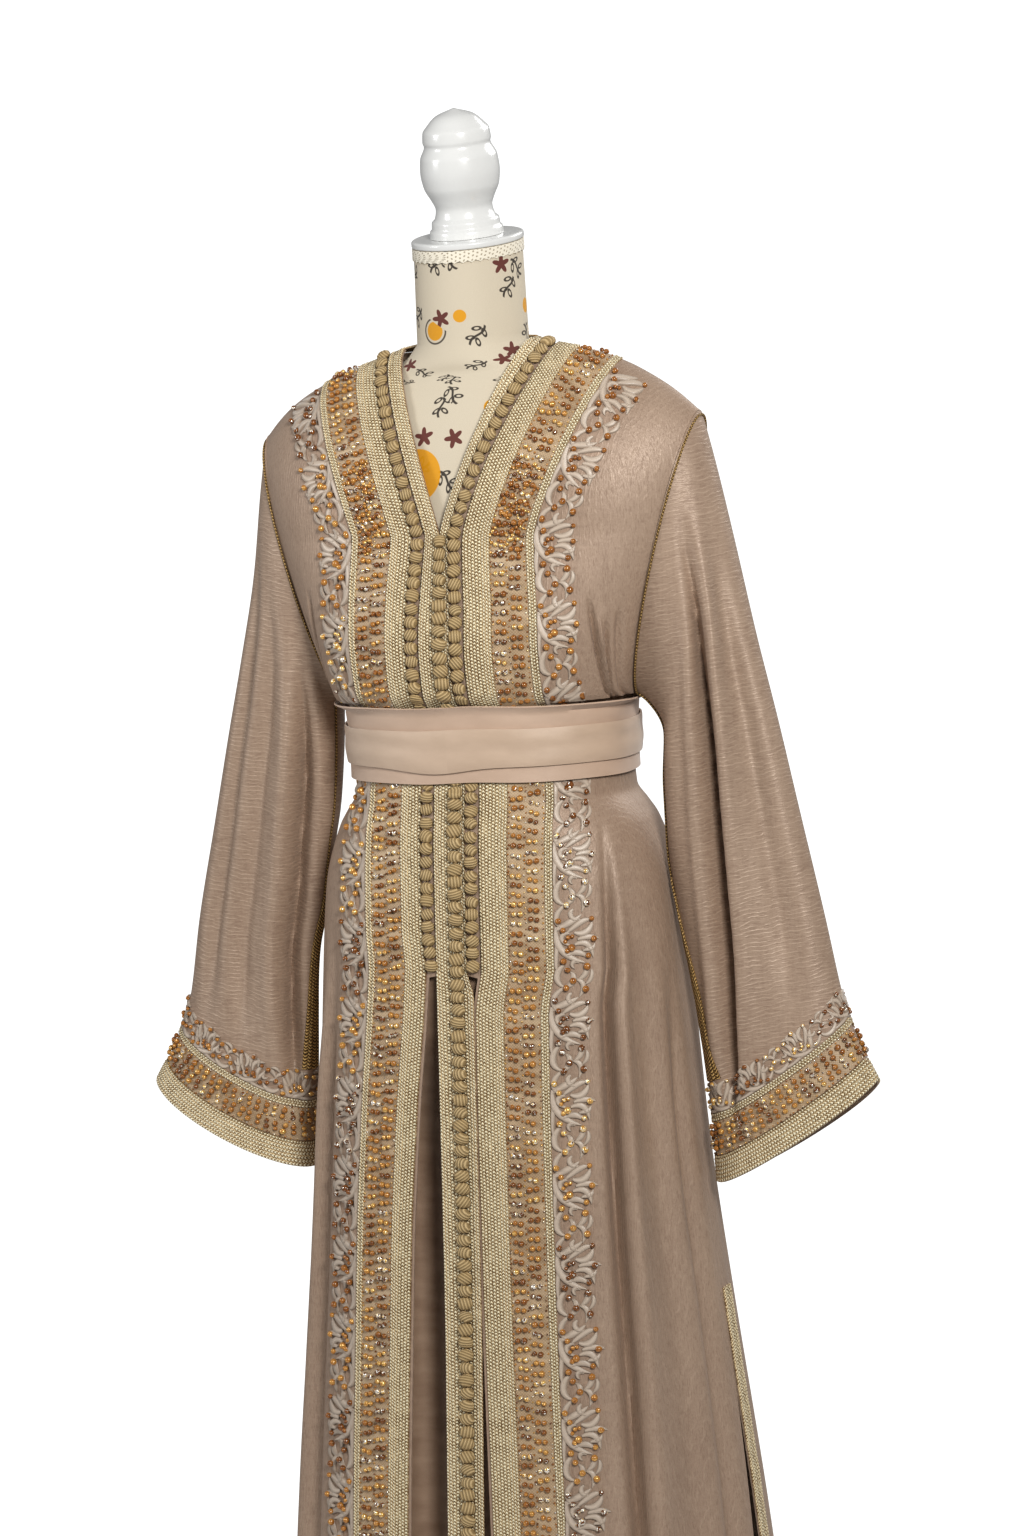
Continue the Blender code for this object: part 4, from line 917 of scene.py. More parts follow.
def frontStops(side, z):  # edge, strip, knots, wide braid, bead band, narrow braid, scroll border
    f = fronts
    further = f["inward"][side] * (1 - ease(0.3, 1, z - body["chest"]))
    widths = (f["knots"] + halfSeam, f["wideBraid"] + halfSeam + further, f["beadBand"],
              f["narrowBraid"], f["scroll"])
    if z < f["slitTop"]:
        edge = readTable(f["slitEdges"], 2 if side == "left" else 1, z)
        start = edge + f["slitBandStart"]
        first = edge + 1
    else:
        edge = halfSeam if z <= body["chest"] else 0
        start = bandStart(z) - further
        start -= 3 * (1 - ease(f["slitTop"], f["slitTop"] + 40, z)) * (side == "right")
        first = start - widths[0]
    return [edge, first] + list(np.cumsum((start - halfSeam,) + widths[1:]))


def hangFolds(cloth, reach, loose, folds):  # folds, less deep where the cloth is held
    shape = folded(cloth.points, cloth.normals, reach, folds)
    return Cloth(cloth.points + (shape - cloth.points) * loose[..., None])


def frontCloth(side):
    half, count = halves[side], fronts["sideColumns"]
    lines = [(z, bodyRow(half, z, -1)) for z in bodyHeights]
    lines += [(body["chest"] + rise, frontChestRow(half, rise)) for rise in rows["chest"]]
    grid = []
    for z, line in lines:
        hem = fronts["sideSlitHem"] * ease(0, fronts["sideSlitTop"], fronts["sideSlitTop"] - z)
        end = lengthOf(line) - halfSeam - hem
        stops = frontStops(side, z) + [end]
        grid.append(along(line, spaced(stops, fronts["parts"] + (count,))))
    cloth = Cloth(np.array(grid))
    reach = np.full(cloth.points.shape[:2], -1.0)
    reach[:, sum(fronts["parts"]):] = np.linspace(0, 1, count + 1)
    loose = ease(-0.02, 0.12, reach) * (1 - 0.6 * ease(0.85, 1, reach))
    return hangFolds(cloth, reach, loose, fronts["folds"][side])


def column(trim):  # the cloth's column at the start of each trim
    order = ("edge", "knots", "wideBraid", "beadBand", "narrowBraid", "scroll", "side")
    return int(sum(fronts["parts"][:order.index(trim)]))


back = {
    "columns": 58, "neckShare": 0.35, "sideBraid": 22, "sideBraidColumns": 4,
    "folds": ((0.00, 0.00, 25, 985, 0.10, -14), (0.30, 0.24, 25, 960, 0.10, -13),
              (0.60, 0.52, 25, 930, 0.10, -14), (0.84, 0.80, 25, 860, 0.08, -9),
              (0.15, 0.12, 25, 940, 0.09, 8), (0.45, 0.38, 25, 900, 0.09, 9),
              (0.20, 0.16, 1104, 1240, 0.10, -5), (0.50, 0.42, 1104, 1220, 0.10, -5)),
}
neckBraidWide = fronts["neckBandStart"] - fronts["knots"] - body["seam"]


def backCloth(side):
    half = halves[side]
    share = np.linspace(0, 1, back["columns"] + 1)
    lines = [bodyRow(half, z, 1) for z in bodyHeights]
    grid = [along(line, share * (lengthOf(line) - halfSeam)) for line in lines]
    grid += [backChestRow(half, rise, share, back["neckShare"], neckBraidWide)
             for rise in rows["chest"]]
    cloth = Cloth(np.array(grid))
    reach = np.broadcast_to(share, cloth.points.shape[:2])
    return hangFolds(cloth, reach, 1 - 0.7 * ease(0.85, 1, reach), back["folds"])


def shoulderWay(half):
    x = half["ridge"][-1][0] - body["neckSide"]
    return unit(np.array([x, -body["neckForward"], 0.0]))


def seamed(half, cloth, face):  # turns the edges' normals into the seams, so the walls meet there
    slit = int(np.searchsorted(bodyHeights, fronts["slitTop"]))
    cloth.normals[slit:chestRow, 0, 0] = 0
    cloth.normals[:firstArmRow + 1, -1, 1] = 0
    way = shoulderWay(half)
    top = cloth.points[-1]
    run = unit(np.gradient(top, axis=0))
    upright = np.stack([-run[:, 2] * way[0], -run[:, 2] * way[1],
                        np.hypot(run[:, 0], run[:, 1])], axis=1)
    onSeam = top[:, 0] >= body["neckSide"] - 1
    cloth.normals[-1, onSeam] = upright[onSeam]
    cloth.points[-1, onSeam] += np.array([-way[1], way[0], 0]) * halfSeam * face
    cloth.normals = unit(cloth.normals)
    return cloth


sleeve = {
    "parts": (6, 98, 6, 2, 6, 5),  # rows at the top, down the arm, and under each cuff trim
    "top": 0.045, "cuffSag": 14, "cuffCord": 3.9,
    "scroll": 32, "narrow": 8, "beads": 34, "braid": 27, "gap": 0.25, "borderScale": 0.74,
    "seamStart": 0.5,  # how far down the arm the under-seam's braid starts, and its cord ends
    "seamColumns": {"left": (5, 15), "right": (4, 9)},  # its width at the top and the cuff
    # turn at the top and cuff, from the under-seam over the front; top and end; width, depth
    "folds": {
        "left": ((124, 44, 0.04, 0.97, 7, -28), (138, 60, 0.04, 0.95, 11, 9),
                 (104, 27, 0.06, 0.92, 10, 7), (150, 112, 0.10, 0.88, 13, -9),
                 (-60, -80, 0.06, 0.90, 13, -13), (-100, -124, 0.10, 0.86, 13, -10)),
        "right": ((62, 32, 0.04, 0.95, 9, -22), (84, 56, 0.06, 0.92, 10, 9),
                  (108, 88, 0.08, 0.90, 9, -11), (140, 122, 0.10, 0.88, 9, -10),
                  (-60, -80, 0.06, 0.90, 13, -13), (-100, -124, 0.10, 0.86, 13, -10)),
    },
}
cuffStarts = np.cumsum((0,) + sleeve["parts"])[1:]
cuffRows = dict(zip(("scroll", "narrow", "beads", "braid"), zip(cuffStarts[1:], cuffStarts[2:])))


def armholeTurns(half, front, behind):
    lowZ, highZ = half["armhole"][1], half["armhole"][3]
    turns = []
    for cloth, sign in ((front, 1), (behind, -1)):
        share = (cloth.points[firstArmRow:, -1, 2] - lowZ) / (highZ - lowZ)
        turns.append(sign * np.degrees(np.arccos(np.clip(1 - 2 * share, -1, 1))))
    return np.concatenate([turns[0], turns[1][-2:0:-1]])


def sleeveCloth(side, turns, samples=90):
    half = halves[side]
    cuts = [(k / (len(half["sleeve"]) - 1),) + cut for k, cut in enumerate(half["sleeve"])]
    angle = np.radians(turns)[:, None]
    rings = []
    for t in np.linspace(0, 1, samples):
        outX, outZ, inX, inZ, deep = (readTable(cuts, k, t) for k in range(1, 6))
        high, low = np.array([outX, 0, outZ]), np.array([inX, 0, inZ])
        sag = sleeve["cuffSag"] * ease(0.75, 1, t)
        ring = (high + low) / 2 - np.cos(angle) * (high - low) / 2
        ring = ring + np.sin(angle) * np.array([0, -deep, 0])
        rings.append(ring - np.abs(np.sin(angle)) * np.array([0, 0, sag]))
    cuff = np.cumsum([0, sleeve["braid"], sleeve["beads"], sleeve["narrow"], sleeve["scroll"]])
    columns = []
    for line in np.array(rings).transpose(1, 0, 2):
        whole = lengthOf(line)
        stops = [0, sleeve["top"] * (whole - cuff[-1])] + list(whole - cuff[::-1])
        columns.append(along(line, spaced(stops, sleeve["parts"])))
    cloth = Cloth(np.array(columns).transpose(1, 0, 2), closed=True)
    share = np.linspace(0, 1, len(cloth.points))[:, None]
    moved = np.zeros(cloth.points.shape[:2])
    for turnTop, turnCuff, top, end, width, depth in sleeve["folds"][side]:
        centre = turnTop + (turnCuff - turnTop) * share
        fade = ease(top, top + 0.25, share) * (1 - ease(end - 0.2, end, share))
        moved += depth * fade * np.exp(-((turns[None, :] - centre) / width) ** 2)
    return Cloth(cloth.points + cloth.normals * moved[..., None], closed=True)


def shareArmhole(front, behind, arm):  # one normal at each armhole vertex, and a hair of room
    first, high = firstArmRow, len(front.points) - firstArmRow
    around = np.concatenate([front.normals[first:, -1], behind.normals[first:, -1][-2:0:-1]])
    around[0] = unit(front.normals[first, -1] + behind.normals[first, -1])
    around[high - 1] = unit(front.normals[-1, -1] + behind.normals[-1, -1])
    shared = unit(around + arm.normals[0])
    front.normals[first:, -1] = shared[:high]
    behind.normals[first:, -1] = np.concatenate([shared[:1], shared[high:][::-1],
                                                 shared[high - 1:high]])
    for cloth in (front, behind):
        inwards = unit(cloth.points[first:, -2] - cloth.points[first:, -1])
        cloth.points[first:, -1] += inwards * body["armholeGap"]
    arm.normals[0] = shared
    arm.points[0] += unit(arm.points[1] - arm.points[0]) * body["armholeGap"]


def joinedBack():
    twin, left = cloths["right"]["back"].mirrored(), cloths["left"]["back"]
    left.normals[:, 0, 0] = 0
    return Cloth(np.concatenate([twin.points[:, :0:-1], left.points], axis=1),
                 unit(np.concatenate([twin.normals[:, :0:-1], left.normals], axis=1)))


cloths = {}
for side in ("left", "right"):
    half = halves[side]
    front = seamed(half, frontCloth(side), -1)
    behind = seamed(half, backCloth(side), 1)
    arm = sleeveCloth(side, armholeTurns(half, front, behind))
    shareArmhole(front, behind, arm)
    cloths[side] = {"front": front, "back": behind, "sleeve": arm}
    print(side, "half:", front.points.shape, behind.points.shape, arm.points.shape)
cloths["back"] = joinedBack()
for part in ("front", "sleeve"):
    cloths["right"][part] = cloths["right"][part].mirrored()


def addCloth(name, cloth, material, node, thick=body["cloth"]):
    # a cloth wall, and the rectangle it was cut from
    uv = cloth.uv()
    inner = cloth.points - cloth.normals * thick
    mesh = shellMesh(name, cloth.points, inner, uv, cloth.closed)
    piece = addPiece(name, mesh, material, (node,))
    width, long = (float(uv[..., k].max() * mm) for k in (0, 1))
    min(cloth.area() * 1e-6, width * long)
    print(f"{name}: {width:.3f} x {long:.3f} m flat, {len(mesh.polygons)} faces")


braidShape = {
    "column": 3.6, "cord": 2.9, "step": 5.0, "lift": 0.3, "wander": 0.12,
    "high": {"braid": 2.4, "narrow": 2.0},
}


def braidProfile(width, high, inner, outer, cord):
    # across a braid: places, heights and texture places, then which spans are edging cords
    column = braidShape["column"]
    field = width - (inner + outer) * cord
    columns = max(round(field / column), 1)
    points, done = [], 0
    for start, size, count, corded in ((0, cord, inner, True),
                                       (inner * cord, field / columns, columns, False),
                                       (width - outer * cord, cord, outer, True)):
        for k in range(count):
            for t in (0, 0.2, 0.5, 0.8) if corded else (0, 0.5):
                crown = 0.55 + 0.45 * math.sqrt(math.sin(math.pi * t))
                points.append((start + (k + t) * size, crown if corded else 0.70 + 0.24 * t,
                               (done + k + t) * column, corded))
        done += count
    x, z, u, corded = np.array(points + [(width, 0.3, done * column, False)]).T
    x[0], x[-1], z[0] = 0.02, width - 0.02, 0.3
    return x, z * high, u, corded[:-1]


def trimMesh(name, track, places, x, u, heights, low):
    # a closed section at each place: over the trim's top, and back along the cloth
    y, v = places
    top = track.at(x[None, :], y[:, None], heights)
    under = track.at(np.array([[track.width, 0.0]]), y[:, None], np.full((len(y), 2), low))
    sections = np.concatenate([top, under], axis=1)
    return loftMesh(name, sections, uvGrid(np.append(u, [u[-1], u[0], u[0]]), v), track.closed)


def addBraid(name, track, kind, node, inner, outer, finishes=(wovenBraid, edgeCord), belted=False,
             cord=braidShape["cord"]):
    x, z, u, corded = braidProfile(track.width, braidShape["high"][kind], inner, outer, cord)
    lift = braidShape["lift"]
    places = evenPlaces(track.length, braidShape["step"], track.closed)
    y = places[0]
    scale = underBelt(track, y) if belted else np.ones(len(y))
    count = len(y) - (not track.closed)
    if not track.closed:  # uneven by hand
        stops = np.linspace(0, track.length, count // 3 + 3)
        uneven = rng.uniform(-1, 1, len(stops))
        scale = scale * (1 + braidShape["wander"] * np.interp(y, stops, uneven))
    mesh = trimMesh(name, track, places, x, u, lift + z[None, :] * scale[:, None], lift * 0.5)
    for finish in finishes:
        mesh.materials.append(finish)
    which = np.zeros(len(mesh.polygons), np.int32)
    which[:count * (len(x) + 2)] = np.tile(np.append(corded, [0, 0, 0]), count)
    mesh.polygons.foreach_set("material_index", which)
    addPiece(name, mesh, None, (node,))


# knots, beads and borders are grown flat by geometry nodes, then bent onto the cloth
repeatInputs = {
    "shape": "Object", "count": "Int", "pitch": "Float", "across": "Float", "jitter": "Vector",
    "turn": "Float", "sizeLow": "Float", "sizeHigh": "Float", "seed": "Int", "finish": "Material",
}


def repeatTree(name):  # one shape at a pitch along Y, each a little moved, turned and sized
    group = bpy.data.node_groups.new(name, "GeometryNodeTree")
    for label, kind in repeatInputs.items():
        group.interface.new_socket(name=label, in_out="INPUT", socket_type="NodeSocket" + kind)
    group.interface.new_socket(name="Geometry", in_out="OUTPUT", socket_type="NodeSocketGeometry")
    tree = Tree(group)
    source = group.nodes.new("NodeGroupInput")
    s = {label: Wire(tree, source.outputs[k]) for k, label in enumerate(repeatInputs)}
    shake = tree.random("FLOAT_VECTOR", (-1, -1, -1), (1, 1, 1), s["seed"], 0)
    line = tree.node("GeometryNodeMeshLine", {}, {"Count": s["count"], "Offset": (0, 0, 0)})
    index = tree.node("GeometryNodeInputIndex")
    place = tree.vector("ADD", tree.joined(s["across"], (index + 0.5) * s["pitch"]),
                        tree.vector("MULTIPLY", shake, s["jitter"]))
    points = tree.node("GeometryNodeSetPosition", {}, {"Geometry": line, "Position": place})
    info = tree.node("GeometryNodeObjectInfo", {}, {"Object": s["shape"]}, 4)
    turn = tree.random("FLOAT", -1.0, 1.0, s["seed"], 1) * s["turn"]
    size = tree.random("FLOAT", s["sizeLow"], s["sizeHigh"], s["seed"], 1)
    many = tree.node("GeometryNodeInstanceOnPoints", {},
                     {"Points": points, "Instance": info, "Rotation": tree.joined(0.0, 0.0, turn),
                      "Scale": tree.joined(size, size, size)})
    named = tree.node("GeometryNodeStoreNamedAttribute",
                      {"data_type": "FLOAT", "domain": "INSTANCE"},
                      {"Geometry": many, "Name": "tint",
                       "Value": tree.random("FLOAT", 0.0, 1.0, s["seed"], 1)})
    real = tree.node("GeometryNodeRealizeInstances", {}, {0: named})
    done = tree.node("GeometryNodeSetMaterial", {}, {"Geometry": real, "Material": s["finish"]})
    tree.feed(group.nodes.new("NodeGroupOutput").inputs[0], done)
    return group


repeater = repeatTree("repeatAlong")


def repeated(name, shape, track, finish, pitch, across, first=0.0, last=None, seed=1, turn=0.0,
             size=(1.0, 1.0), jitter=(0.0, 0.0, 0.0)):
    # the tree's result as a plain flat mesh, between two places along a track
    long = (track.length if last is None else last) - first
    count = max(int(round(long / pitch)) if track.closed else int(long / pitch), 1)
    values = {"shape": shape, "count": count, "pitch": long / count * mm, "across": across * mm,
              "jitter": jitter, "turn": turn, "sizeLow": size[0], "sizeHigh": size[1],
              "seed": seed, "finish": finish}
    holder = linked(name + "Holder", bpy.data.meshes.new(name))
    modifier = holder.modifiers.new("grow", "NODES")
    modifier.node_group = repeater
    for item in repeater.interface.items_tree:
        if item.in_out == "INPUT":
            modifier[item.identifier] = values[item.name]
    graph = bpy.context.evaluated_depsgraph_get()
    mesh = bpy.data.meshes.new_from_object(holder.evaluated_get(graph), depsgraph=graph)
    holder.modifiers.remove(modifier)
    bpy.data.objects.remove(holder)
    mesh.name = name
    mesh.materials.clear()
    mesh.materials.append(finish)
    mesh.polygons.foreach_set("material_index", np.zeros(len(mesh.polygons), np.int32))
    return mesh


def faceOrder(face):  # a number that sorts faces the same way in every run
    corners = sorted(vert.index for vert in face.verts)
    return sum(corner * 1000.0 ** k for k, corner in enumerate(corners))


def builtShape(name, build):  # a shape that the tree repeats
    build.verts.index_update()
    build.faces.sort(key=faceOrder)
    mesh = bpy.data.meshes.new(name)
    build.to_mesh(mesh)
    build.free()
    mesh.shade_smooth()
    return linked(name + "Master", mesh)


knot = {"pitch": 12.6, "radius": 6.5, "high": 6.4, "sides": 12, "rings": 6, "square": 2.3,
        "turn": 0.5, "size": (0.9672, 1.1024), "jitter": (0.0003, 0.0006, 0.0002)}


def knotShape():
    # a wound ball, a little flattened; its own coordinates are kept for the winding's threads
    build = bmesh.new()
    radius, power = knot["radius"] * mm, knot["square"]
    bmesh.ops.create_uvsphere(build, u_segments=knot["sides"], v_segments=knot["rings"],
                              radius=radius)
    for vert in build.verts:
        vert.co.z = (vert.co.z * 0.72 + 0.40 * radius) * knot["high"] / knot["radius"]
        away = math.hypot(vert.co.x, vert.co.y)
        if away > 1e-6:
            corner = (abs(vert.co.x / away) ** power + abs(vert.co.y / away) ** power) ** (
                -1 / power)
            vert.co.x *= corner
            vert.co.y *= corner * 0.94
    shape = builtShape("knot", build)
    thread = shape.data.attributes.new("thread", "FLOAT_VECTOR", "POINT")
    thread.data.foreach_set("vector", (pointsOf(shape.data) * mm).ravel())
    return shape


knotMaster = knotShape()


def addKnots(name, track, node, lift, seed, wide):
    middle = track.width / 2
    mesh = repeated(name, knotMaster, track, woundCord, knot["pitch"], middle, seed=seed,
                    turn=knot["turn"], size=knot["size"], jitter=knot["jitter"])
    points = pointsOf(mesh)
    points[:, 0] = middle + (points[:, 0] - middle) * wide
    laidOn(track, mesh, points, lift)
    addPiece(name, mesh, None, (node,))


bead = {
    "pitch": 9.4, "columns": (0.26, 0.70), "lift": 0.9,
    "longRow": (3.3, 2.9), "shortRow": (2.9, 3.4), "rowGap": 0.2,  # radii, and the gap between
    "seed": 1.2, "seedColumns": (0.04, 0.475, 0.96),
    # crowded rows at the chest: their places across, where they start and end, pitch and radii
    "chestColumns": (0.10, 0.30, 0.48, 0.68, 0.88), "chest": (-22, 74), "chestPitch": 8.5,
    "chestRow": (1.9, 2.3, 1.9),
}


def beadRow(name, sizes, gap):
    # a short row of cut beads; sizes are the radii from one end to the other
    build = bmesh.new()
    middle = sum(sizes) + gap * (len(sizes) - 1) / 2
    x = 0.0
    for k, size in enumerate(sizes):
        x += size
        made = bmesh.ops.create_uvsphere(build, u_segments=6, v_segments=4, radius=size * mm)
        spin = Matrix.Rotation(0.7 * k, 3, "Z") @ Matrix.Diagonal((1, 0.98, 0.85))
        bmesh.ops.transform(build, verts=made["verts"], matrix=spin.to_4x4())
        bmesh.ops.translate(build, verts=made["verts"],
                            vec=((x - middle) * mm, 0.3 * mm * (-1) ** k, size * 0.7 * mm))
        x += size + gap
    bmesh.ops.triangulate(build, faces=build.faces[:])
    return builtShape(name, build)


longRow = beadRow("longRow", bead["longRow"], bead["rowGap"])
shortRow = beadRow("shortRow", bead["shortRow"], bead["rowGap"])
seedBead = beadRow("seed", (bead["seed"],), 0.0)
crowdedRow = beadRow("chestRow", bead["chestRow"], -0.3)


def joinMeshes(name, parts):  # one mesh of triangles from several, each with its tint and shift
    points, faces, tints, count = [], [], [], 0
    for mesh, shift in parts:
        corners = np.empty(len(mesh.loops), np.int32)
        mesh.loops.foreach_get("vertex_index", corners)
        tint = np.empty(len(mesh.vertices))
        mesh.attributes["tint"].data.foreach_get("value", tint)
        points.append(pointsOf(mesh) + (0, shift, 0))
        faces.append(corners.reshape(-1, 3) + count)
        tints.append(tint)
        count += len(mesh.vertices)
        bpy.data.meshes.remove(mesh)
    whole = makeMesh(name, np.concatenate(points), faces)
    own = whole.attributes.new("tint", "FLOAT", "POINT")
    own.data.foreach_set("value", np.concatenate(tints))
    return whole


def addBeads(name, track, denseFrom=None, seed=11):
    # two columns of short rows, staggered, with seed beads between; crowded at the chest
    pitch = bead["pitch"]
    parts = []

    def grow(shape, step, share, shift, ownSeed, turn, size, jitter, first=0.0, last=None):
        parts.append((repeated(name, shape, track, beadGlass, step, track.width * share, first,
                               last, ownSeed, turn, size, jitter), shift))

    for k, share in enumerate(bead["columns"]):
        for offset, shape in enumerate((longRow, shortRow)):
            grow(shape, 2 * pitch, share, (0.5 * k + offset - 0.5) * pitch,
                 seed + 3 * k + offset, 0.28, (0.86, 1.08), (0.0007, 0.0008, 0.0))
    for k, share in enumerate(bead["seedColumns"]):
        grow(seedBead, pitch * 0.55, share, 0, seed + 9 + k, 0.0, (0.7, 1.1),
             (0.0009, 0.0016, 0.0))
    if denseFrom is not None:
        low, high = (denseFrom + reach for reach in bead["chest"])
        for k, share in enumerate(bead["chestColumns"]):
            grow(crowdedRow, bead["chestPitch"], share, low, seed + 20 + k, 1.3, (0.7, 1.05),
                 (0.0018, 0.0014, 0.0005), low, high)
    mesh = joinMeshes(name, parts)
    laidOn(track, mesh, pointsOf(mesh), bead["lift"])
    addPiece(name, mesh, beadGlass)


ground = {"columns": 6, "step": 8.0, "high": 0.8, "low": 0.15}


def addGround(name, track, node):  # a flat tape under beads
    x = np.linspace(0.02, track.width - 0.02, ground["columns"])
    places = evenPlaces(track.length, ground["step"], track.closed)
    mesh = trimMesh(name, track, places, x, x, np.full((1, len(x)), ground["high"]), ground["low"])
    addPiece(name, mesh, groundSatin, (node,))


# the corded border: ribbon leaves on a curving stem, beads at their tips
border = {
    "pitch": 79.0, "high": 2.8, "steps": 8, "over": 2, "start": -33, "beadHigh": 1.2,
    "beadSwell": 1.3, "jitter": (0.0006, 0.0012, 0.0),
    "across": (-0.5, -0.32, 0.0, 0.32, 0.5), "arch": (0.0, 1.0, 0.5, 0.86, 0.0),
    # each ribbon: four places of its curve (out from the stem, up), and its width
    "leaves": (
        (((2, 40), (9, 46), (19, 47), (27, 55)), 5.6), (((2, 43), (0, 27), (7, 14), (30, 8)), 6.2),
        (((13, 38), (22, 45), (30, 52), (37, 50)), 4.8),
        (((20, 38), (29, 34), (36, 39), (37.5, 48)), 5.6),
        (((23, 31), (31, 34), (38, 34), (44, 31.5)), 4.8),
        (((20, 26), (31, 31), (37, 25), (38, 13)), 5.2),
        (((15, 37), (5, 38), (4, 27), (18, 25)), 4.0),
        (((10, 15), (18, 20), (27, 20), (34, 12)), 5.0),
        (((31, 7), (33, 0), (30, -5), (23, -8)), 4.6),
        (((23, -8), (30, -9), (33, -14), (28, -25)), 4.6),
        (((9, 6), (0, -2), (0, -14), (12, -18)), 6.0),
        (((12, -18), (22, -14), (22, -4), (15, -1)), 5.0),
        (((24, 8), (18, 12), (14, 6), (20, 2)), 3.6),
        (((36, 2), (38, -3), (37, -8), (31, -12)), 3.6),
        (((12, -18), (1, -26), (1, -36), (8, -40)), 4.6),
        (((3, -2), (-1, 8), (4, 20), (2, 32)), 4.2),
        (((28, 20), (34, 22), (38, 20), (40, 27)), 3.8),
        (((20, -22), (14, -26), (18, -34), (27, -32)), 4.2)),
    "beads": ((9, 40, 2.2), (17, 23, 2.9), (13, 20, 2.1), (38.8, 31.5, 2.4), (33, 15, 2.2),
              (9, 9.7, 2.5), (31.6, 4.6, 2.7), (12.8, 0.5, 2.3), (19.4, -10, 2.6),
              (13.8, -18, 2.5), (33, -16, 2.7), (4.6, 49, 2.4), (14, 33, 1.8), (18, 34, 1.6),
              (11, 29, 1.7), (37, 51, 2.0)),
}


def leafShape(path, width):  # a pointed ribbon along a cubic curve, arched across
    a, b, c, d = (np.array(point, float) for point in path)
    t = np.linspace(0, 1, border["steps"] + 1)[:, None]
    line = a * (1 - t) ** 3 + 3 * b * t * (1 - t) ** 2 + 3 * c * t * t * (1 - t) + d * t ** 3
    way = unit(np.gradient(line, axis=0))
    side = np.stack([-way[:, 1], way[:, 0]], axis=1)
    swell = 1.35 * np.sin(np.pi * np.clip(t[:, 0] * 0.92 + 0.07, 0, 1)) ** 0.6
    across, arch = np.array(border["across"]), np.array(border["arch"])
    flat = line[:, None] + side[:, None] * across[None, :, None] * (width * swell)[:, None, None]
    z = arch[None, :] * border["high"] * (0.45 + 0.55 * swell)[:, None]
    points = np.concatenate([flat, z[..., None]], axis=2)
    return points, uvGrid((across + 0.5) * 10, t[:, 0] * lengthOf(line))


def borderShapes():
    points, faces, uvs, count = [], [], [], 0
    for path, width in border["leaves"]:
        grid, uv = leafShape(path, width)
        cells, flat = gridCells(*grid.shape[:2], False)
        turn = windingOf(grid, cells, np.array([0, 0, 1]))
        points.append(grid.reshape(-1, 3))
        faces.append(cells[:, ::turn] + count)
        uvs.append(uv.reshape(-1, 2)[flat[:, ::turn]])
        count += len(points[-1])
    leaves = makeMesh("leafMesh", np.concatenate(points), faces, uvs)
    build = bmesh.new()
    for x, y, size in border["beads"]:
        made = bmesh.ops.create_icosphere(build, subdivisions=2,
                                          radius=size * border["beadSwell"] * mm)
        bmesh.ops.translate(build, verts=made["verts"],
                            vec=(x * mm, y * mm, size * border["beadHigh"] * mm))
    tips = builtShape("tip", build)
    own = tips.data.attributes.new("own", "FLOAT", "POINT")
    own.data.foreach_set("value", np.repeat(rng.uniform(0, 1, len(border["beads"])),
                                            len(tips.data.vertices) // len(border["beads"])))
    return linked("leafMaster", leaves), tips


leafMaster, tipMaster = borderShapes()


def addBorder(name, track, node, outerLow, seed, scale=1.0):
    # the stem runs along the trim's inner side, and the leaves reach outwards
    for kind, shape, finish, slot, nodes in (
            ("Leaves", leafMaster, satinRibbon, "cording", (node,)),
            ("Beads", tipMaster, beadGlass, "beads", ())):
        mesh = repeated(name + kind, shape, track, finish, border["pitch"] * scale, 0.0,
                        seed=seed, size=(scale, scale), jitter=border["jitter"])
        points = pointsOf(mesh)
        points[:, 1] += border["start"] * scale
        if outerLow:
            points[:, 0] = track.width - points[:, 0]
            mesh.flip_normals()
        laidOn(track, mesh, points, 0.1)
        addPiece(name + kind, mesh, None, nodes)


print("tools ready")


slitRow = int(np.searchsorted(bodyHeights, fronts["slitTop"]))


def addFront(side, seed):
    front = cloths[side]["front"]

    def strip(first, last, rowRange=slice(None), over=0):
        return front.track(rowRange, column(first), column(last) + over)

    band = strip("beadBand", "narrowBraid")
    addBraid("wideBraid." + side, strip("wideBraid", "beadBand"), "braid", "wide_braid_" + side,
             0, 3, belted=True)
    addGround("beadGround." + side, band, "bead_band_" + side)
    addBeads("beads." + side, band, band.run[chestRow], seed)
    addBraid("narrowBraid." + side, strip("narrowBraid", "scroll"), "narrow",
             "narrow_braid_" + side, 1, 1, belted=True)
    addBraid("neckBraid." + side, strip("edge", "knots", slice(chestRow, None)), "braid",
             "neck_braid_" + side, 2, 1)
    addKnots("aakad." + side, strip("knots", "wideBraid", slice(slitRow, None)),
             "aakad_" + side, fronts["knotLift"], seed, fronts["knotWide"])
    addBorder("border." + side, strip("scroll", "side", over=border["over"]),
              "scroll_border_" + side, False, seed)
    addCloth("front." + side, front, satinUpright, "front_" + side)


addFront("left", 40)
addFront("right", 60)
print("fronts ready")


# the strip that covers the closing, and its column of knots: their places across, from the centre
closing = {"steps": 9, "knots": (-3.5, 12.5), "knotSteps": 4, "easing": 22, "knotLift": 2.8,
           "knotWide": 1.28}


def centreTrack(heights, lows, highs, steps):  # places left of the centre are positive
    grid = []
    for z, low, high in zip(heights, lows, highs):
        places = np.linspace(low, high, steps)
        row = along(bodyRow(halves["left"], z, -1), np.abs(places))
        grid.append(row * np.where(places < 0, -1, 1)[:, None] ** (1, 0, 0))
    cloth = Cloth(np.array(grid))
    return Track(cloth.points, cloth.normals)


